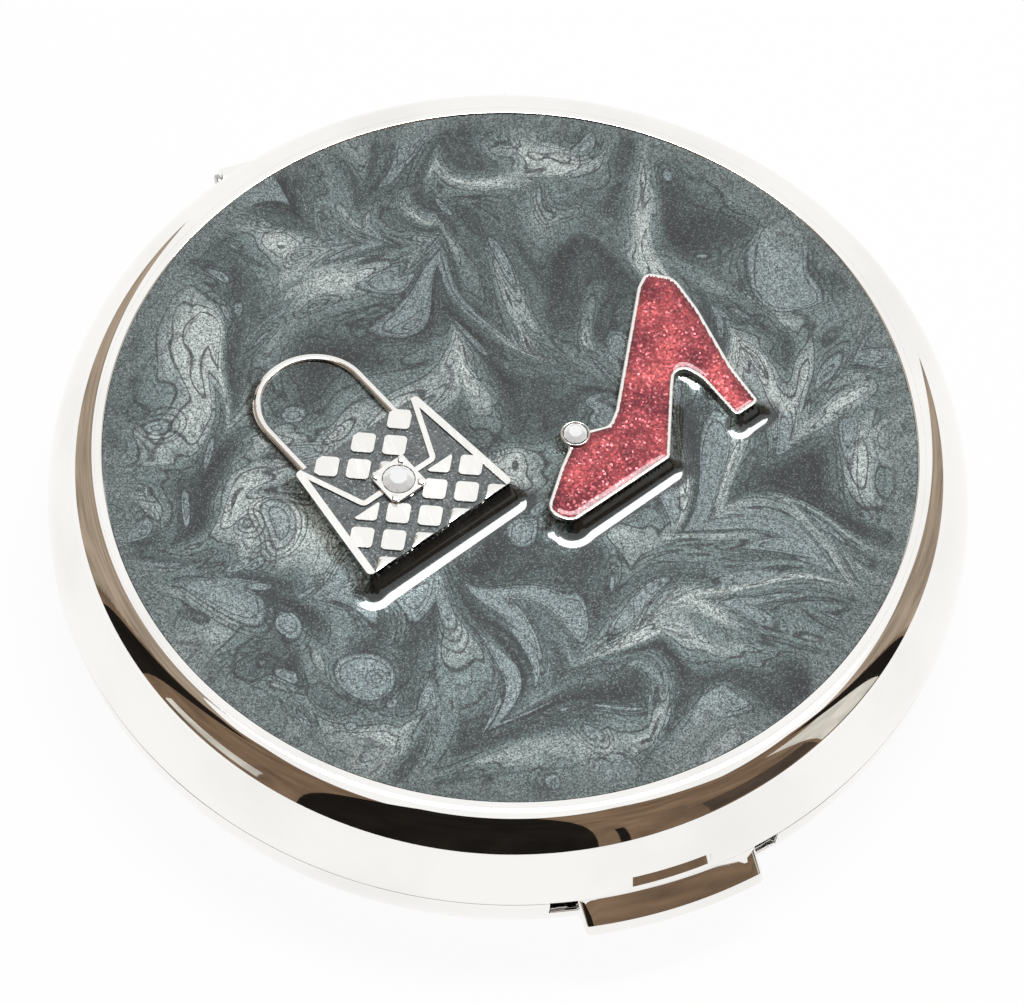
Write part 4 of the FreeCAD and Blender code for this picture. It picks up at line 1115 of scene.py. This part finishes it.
red_enamel = make_red_enamel()
softened("shoe_casting", "shoe_charm", SHOE_ROUND, "lid", "plated_charm", plated_charm)
fill_low, fill_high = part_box("shoe_enamel")
fill_size = fill_high - fill_low
fill_middle = (fill_low + fill_high) / 2
fill_walls = wall_tree("shoe_enamel")
fill_bm = bmesh.new()
columns = round(fill_size.x / FILL_GRID)
rows = round(fill_size.y / FILL_GRID)
bmesh.ops.create_grid(fill_bm, x_segments=columns, y_segments=rows, size=0.5)
grid_size = (fill_size.x * FILL_MARGIN, fill_size.y * FILL_MARGIN, 1)
bmesh.ops.scale(fill_bm, verts=fill_bm.verts, vec=grid_size)
bmesh.ops.translate(fill_bm, verts=fill_bm.verts, vec=(fill_middle.x, fill_middle.y, fill_high.z))
outside = []
for v in fill_bm.verts:
    over = covers(fill_walls, v.co)
    gap = fill_walls.find_nearest(Vector((v.co.x, v.co.y, fill_middle.z)))[3]
    if not over and gap > FILL_LAP:
        outside.append(v)
    crown = FILL_CROWN * (1 - math.exp(-gap / FILL_CROWN_RUN)) if over else -gap * FILL_EDGE_SLOPE
    v.co.z = fill_high.z + FILL_EDGE + crown
bmesh.ops.delete(fill_bm, geom=outside, context="VERTS")
sheet = bmesh.ops.extrude_face_region(fill_bm, geom=fill_bm.faces[:])["geom"]
for v in only(bmesh.types.BMVert, sheet):
    v.co.z = fill_low.z
bmesh.ops.recalc_face_normals(fill_bm, faces=fill_bm.faces)
settle("shoe_glitter", fill_bm, "lid", "red_enamel", red_enamel, "shoe_enamel")

# %% [markdown]
# ## Crystals
# Two small round stones sit in the bag's clasp and on the shoe. Each is a cut
# glass brilliant. Its facets need not be laid out one by one: the corners lie on a
# few level rings, each turned against the next, and the tightest skin round all of
# them is exactly the cut stone. The facets are shaded flat, and those below the
# girdle carry a foil that throws the light back.

# %% Crystals
STONE_SIDES = 8
CROWN_SHARE = 0.348  # crown height as a share of the whole stone's
FOIL_BELOW = -0.1  # upward part of the normals under which a facet is foiled
STONE_RINGS = (  # share of the radius, share of the height above or below the girdle, corners, turn
    (0.56, 1.0, 8, 0.0),
    (0.80, 0.58, 8, 0.5),
    (1.0, 0.0, 16, 0.25),
    (0.45, -0.6, 8, 0.5),
    (0.08, -1.0, 8, 0.0),
)


def make_crystal():
    made, tree, shader = finish_of("crystal", IOR=1.58, Transmission_Weight=0.1, Metallic=0.2)
    spot = object_spot(tree)
    wear = use_group(tree, wear_group, Spot=spot, Line_Spacing=0.05, Haze_Size=1.0)
    tree.links.new(span(tree, wear["Haze"], 0, 1, 0.0, 0.03), shader.inputs["Roughness"])
    tint = blend(tree, "MIX", wear["Haze"], (1, 1, 1, 1), (0.95, 0.97, 1.0, 1))
    tree.links.new(tint, shader.inputs["Base Color"])
    return made


def cut_stone(name, node):
    low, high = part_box(node)
    middle = (low + high) / 2
    girdle_z = high.z - (high.z - low.z) * CROWN_SHARE
    radius = (high.x - low.x) / 2
    bm = bmesh.new()
    for share, level, corners, turn in STONE_RINGS:
        ring = bmesh.ops.create_circle(bm, segments=corners, radius=radius * share)["verts"]
        height = high.z - girdle_z if level > 0 else girdle_z - low.z
        spot = Matrix.Translation((middle.x, middle.y, girdle_z + height * level))
        step = Matrix.Rotation(turn * 2 * math.pi / STONE_SIDES, 4, "Z")
        bmesh.ops.transform(bm, matrix=spot @ step, verts=ring)
    bmesh.ops.convex_hull(bm, input=bm.verts[:])
    bmesh.ops.dissolve_limit(bm, angle_limit=FLAT_ANGLE, verts=bm.verts, edges=bm.edges)
    bmesh.ops.recalc_face_normals(bm, faces=bm.faces)
    stone = settle(name, bm, "lid", "crystal", crystal, node)
    stone.modifiers.clear()
    stone.data.shade_flat()
    stone.data.materials.append(foil)
    for face in stone.data.polygons:
        face.material_index = 1 if face.normal.z < FOIL_BELOW else 0


crystal = make_crystal()
foil = plating("foil", (0.97, 0.97, 0.97), 0.6, 0.1, 0.0005)
cut_stone("bag_stone", "handbag_crystal")
cut_stone("shoe_stone", "shoe_crystal")

# %% [markdown]
# ## Push button
# The push button is a short curved bar in front of a flat plate. The bar's top slopes
# down from the lid's edge and mirrors the brown room, and its steep front mirrors the
# paper. The solid's bar is plainer, so only the plate is taken from it, and the bar
# is spun about the case's axis from five points, its ends set square and its front
# corners rounded. The bar is hidden from reflections, because the lid's wall above
# it shows only paper in the picture.

# %% Push button
THUMB_SLOPE = (1.5 * MM, 0.78 * MM)  # run and drop of the sloped top
FRONT_SLOPE = 0.34 * MM  # how far the front leans back
BAR_CORNER = 0.9 * MM
BAR_CORNER_STEPS = 6
BAR_EDGE = 0.08 * MM
BAR_UPRIGHT = 0.1 * MM  # least height of an edge that is a corner
bar_reach = -button_low.y
bar_back = case_radius - SHELL_WALL
button_points = [v.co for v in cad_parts["push_button"].data.vertices]
bar_half = max(abs(p.x) for p in button_points if p.xy.length > case_radius)
bar_angle = math.asin(bar_half / bar_reach)
brow = bar_reach - FRONT_SLOPE
bar_outline = [
    (bar_back, button_low.z),
    (bar_reach, button_low.z),
    (brow, button_high.z - THUMB_SLOPE[1]),
    (brow - THUMB_SLOPE[0], button_high.z),
    (bar_back, button_high.z),
]
bar_bm = merged_copy("push_button")
cut_off(bar_bm, (0, -bar_back, 0), (0, -1, 0))
spin_outline(bar_bm, bar_outline, -math.pi / 2 - bar_angle, 2 * bar_angle)
clean(bar_bm)
back_y = -bar_back * math.cos(bar_angle)
bar_verts = [v for v in bar_bm.verts if v.co.y < back_y + TOLERANCE]
ends = [v for v in bar_verts if abs(v.co.x) > v.co.xy.length * math.sin(bar_angle) - TOLERANCE]
for v in ends:
    v.co.x = math.copysign(bar_half, v.co.x)
outer_ends = [v for v in ends if v.co.xy.length > case_radius]
corners = [e for e in bar_bm.edges if all(v in outer_ends for v in e.verts)]
corners = [e for e in corners if abs(e.verts[0].co.z - e.verts[1].co.z) > BAR_UPRIGHT]
round_edges(bar_bm, BAR_CORNER, corners, segments=BAR_CORNER_STEPS)
round_edges(bar_bm, BAR_EDGE, hard_edges(bar_bm))
thumb_bar = settle("thumb_bar", bar_bm, "button", "plated_case", plated_case, "push_button")
thumb_bar.visible_glossy = False

# %% [markdown]
# ## Hinge and catch
# The hinge is three lengths of tube on a pin. The catch is a hook on the lid and a
# bowed spring behind the button, which holds the hook; two posts guide the button.
# Their solids have the right curves, so each piece is a softened copy: the bevel is
# what turns a hard edge into the thin bright line of a buffed one. The spring rides on
# no body, and its place is baked into its mesh.

# %% Hinge and catch
KNUCKLE_ROUND = 0.1
STEEL_PIECES = (  # piece, its solid, edge rounding in millimetres, body
    ("hinge_rod", "hinge_pin", 0.08, "base"),
    ("guide_posts", "button_guides", 0.1, "base"),
    ("hook_strip", "catch_hook", 0.06, "lid"),
    ("hook_rivet_pair", "hook_rivets", 0.08, "lid"),
    ("spring_strip", "catch_spring", 0.03, None),
)


def make_steel():
    made, tree, shader = finish_of("steel", Metallic=1.0)
    spot = object_spot(tree, (1, 12, 12))
    brush = put(tree, "TexNoise", {"Vector": spot, "Scale": 1.6, "Detail": 2.0}).outputs[0]
    colour = tones(tree, brush, ((0.3, (0.42, 0.42, 0.43)), (0.7, (0.58, 0.575, 0.57))))
    tree.links.new(colour, shader.inputs["Base Color"])
    tree.links.new(span(tree, brush, 0.3, 0.7, 0.22, 0.4), shader.inputs["Roughness"])
    bump = put(tree, "Bump", {"Height": brush, "Distance": 0.004 * MM})
    tree.links.new(bump.outputs[0], shader.inputs["Normal"])
    return made


softened("lid_knuckle", "lid_hinge_knuckle", KNUCKLE_ROUND, "lid", "plated_case", plated_case)
softened("base_knuckles", "base_hinge_knuckles", KNUCKLE_ROUND, "base", "plated_case", plated_case)
steel = make_steel()
steel_made = [softened(*piece, "steel", steel) for piece in STEEL_PIECES]
spring = steel_made[-1]
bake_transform(spring)

# %% [markdown]
# ## Mirrors
# Inside are two glasses: a plain one in the lid and a magnifying one in the base.
# Each lies on a sticky foam disc in a bright tray. The glass could be clear with a
# silvered back, but a mirror that thin looks the same as a polished metal face, so
# that is what it gets, with a ground edge and a few wipe marks.


# %% Mirrors
def make_mirror_glass():
    made, tree, shader = finish_of("mirror_glass", Metallic=1.0)
    spot = object_spot(tree)
    wear = use_group(tree, wear_group, Spot=spot, Line_Spacing=0.2, Haze_Size=14.0)
    tree.links.new(span(tree, wear["Haze"], 0, 1, 0.004, 0.03), shader.inputs["Roughness"])
    tint = blend(tree, "MIX", wear["Haze"], (0.88, 0.90, 0.895, 1), (0.84, 0.865, 0.86, 1))
    tree.links.new(tint, shader.inputs["Base Color"])
    return made


def make_foam():
    made, tree, shader = finish_of("foam")
    cells = put(tree, "TexVoronoi", {"Vector": object_spot(tree), "Scale": 5.0}).outputs["Distance"]
    colour = tones(tree, cells, ((0.0, (0.03, 0.03, 0.032)), (0.6, (0.10, 0.10, 0.105))))
    tree.links.new(colour, shader.inputs["Base Color"])
    tree.links.new(span(tree, cells, 0, 0.6, 0.95, 0.8), shader.inputs["Roughness"])
    bump = put(tree, "Bump", {"Height": cells, "Distance": 0.05 * MM})
    tree.links.new(bump.outputs[0], shader.inputs["Normal"])
    return made


mirror_glass = make_mirror_glass()
foam = make_foam()
softened("lid_glass", "lid_mirror", 0.3, "lid", "mirror_glass", mirror_glass)
softened("base_glass", "base_mirror", 0.3, "base", "mirror_glass", mirror_glass)
softened("lid_tray", "lid_mirror_frame", 0.12, "lid", "plated_frame", plated_frame)
softened("base_tray", "base_mirror_frame", 0.12, "base", "plated_frame", plated_frame)
softened("lid_pad", "lid_mirror_pad", 0.15, "lid", "foam", foam)
softened("base_pad", "base_mirror_pad", 0.15, "base", "foam", foam)

# %% Finish
visual_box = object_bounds()
boxes = {"cad": cad_box, "visual": visual_box}
for name, box in boxes.items():
    print(name, [round(x / MM, 2) for corner in box for x in corner])
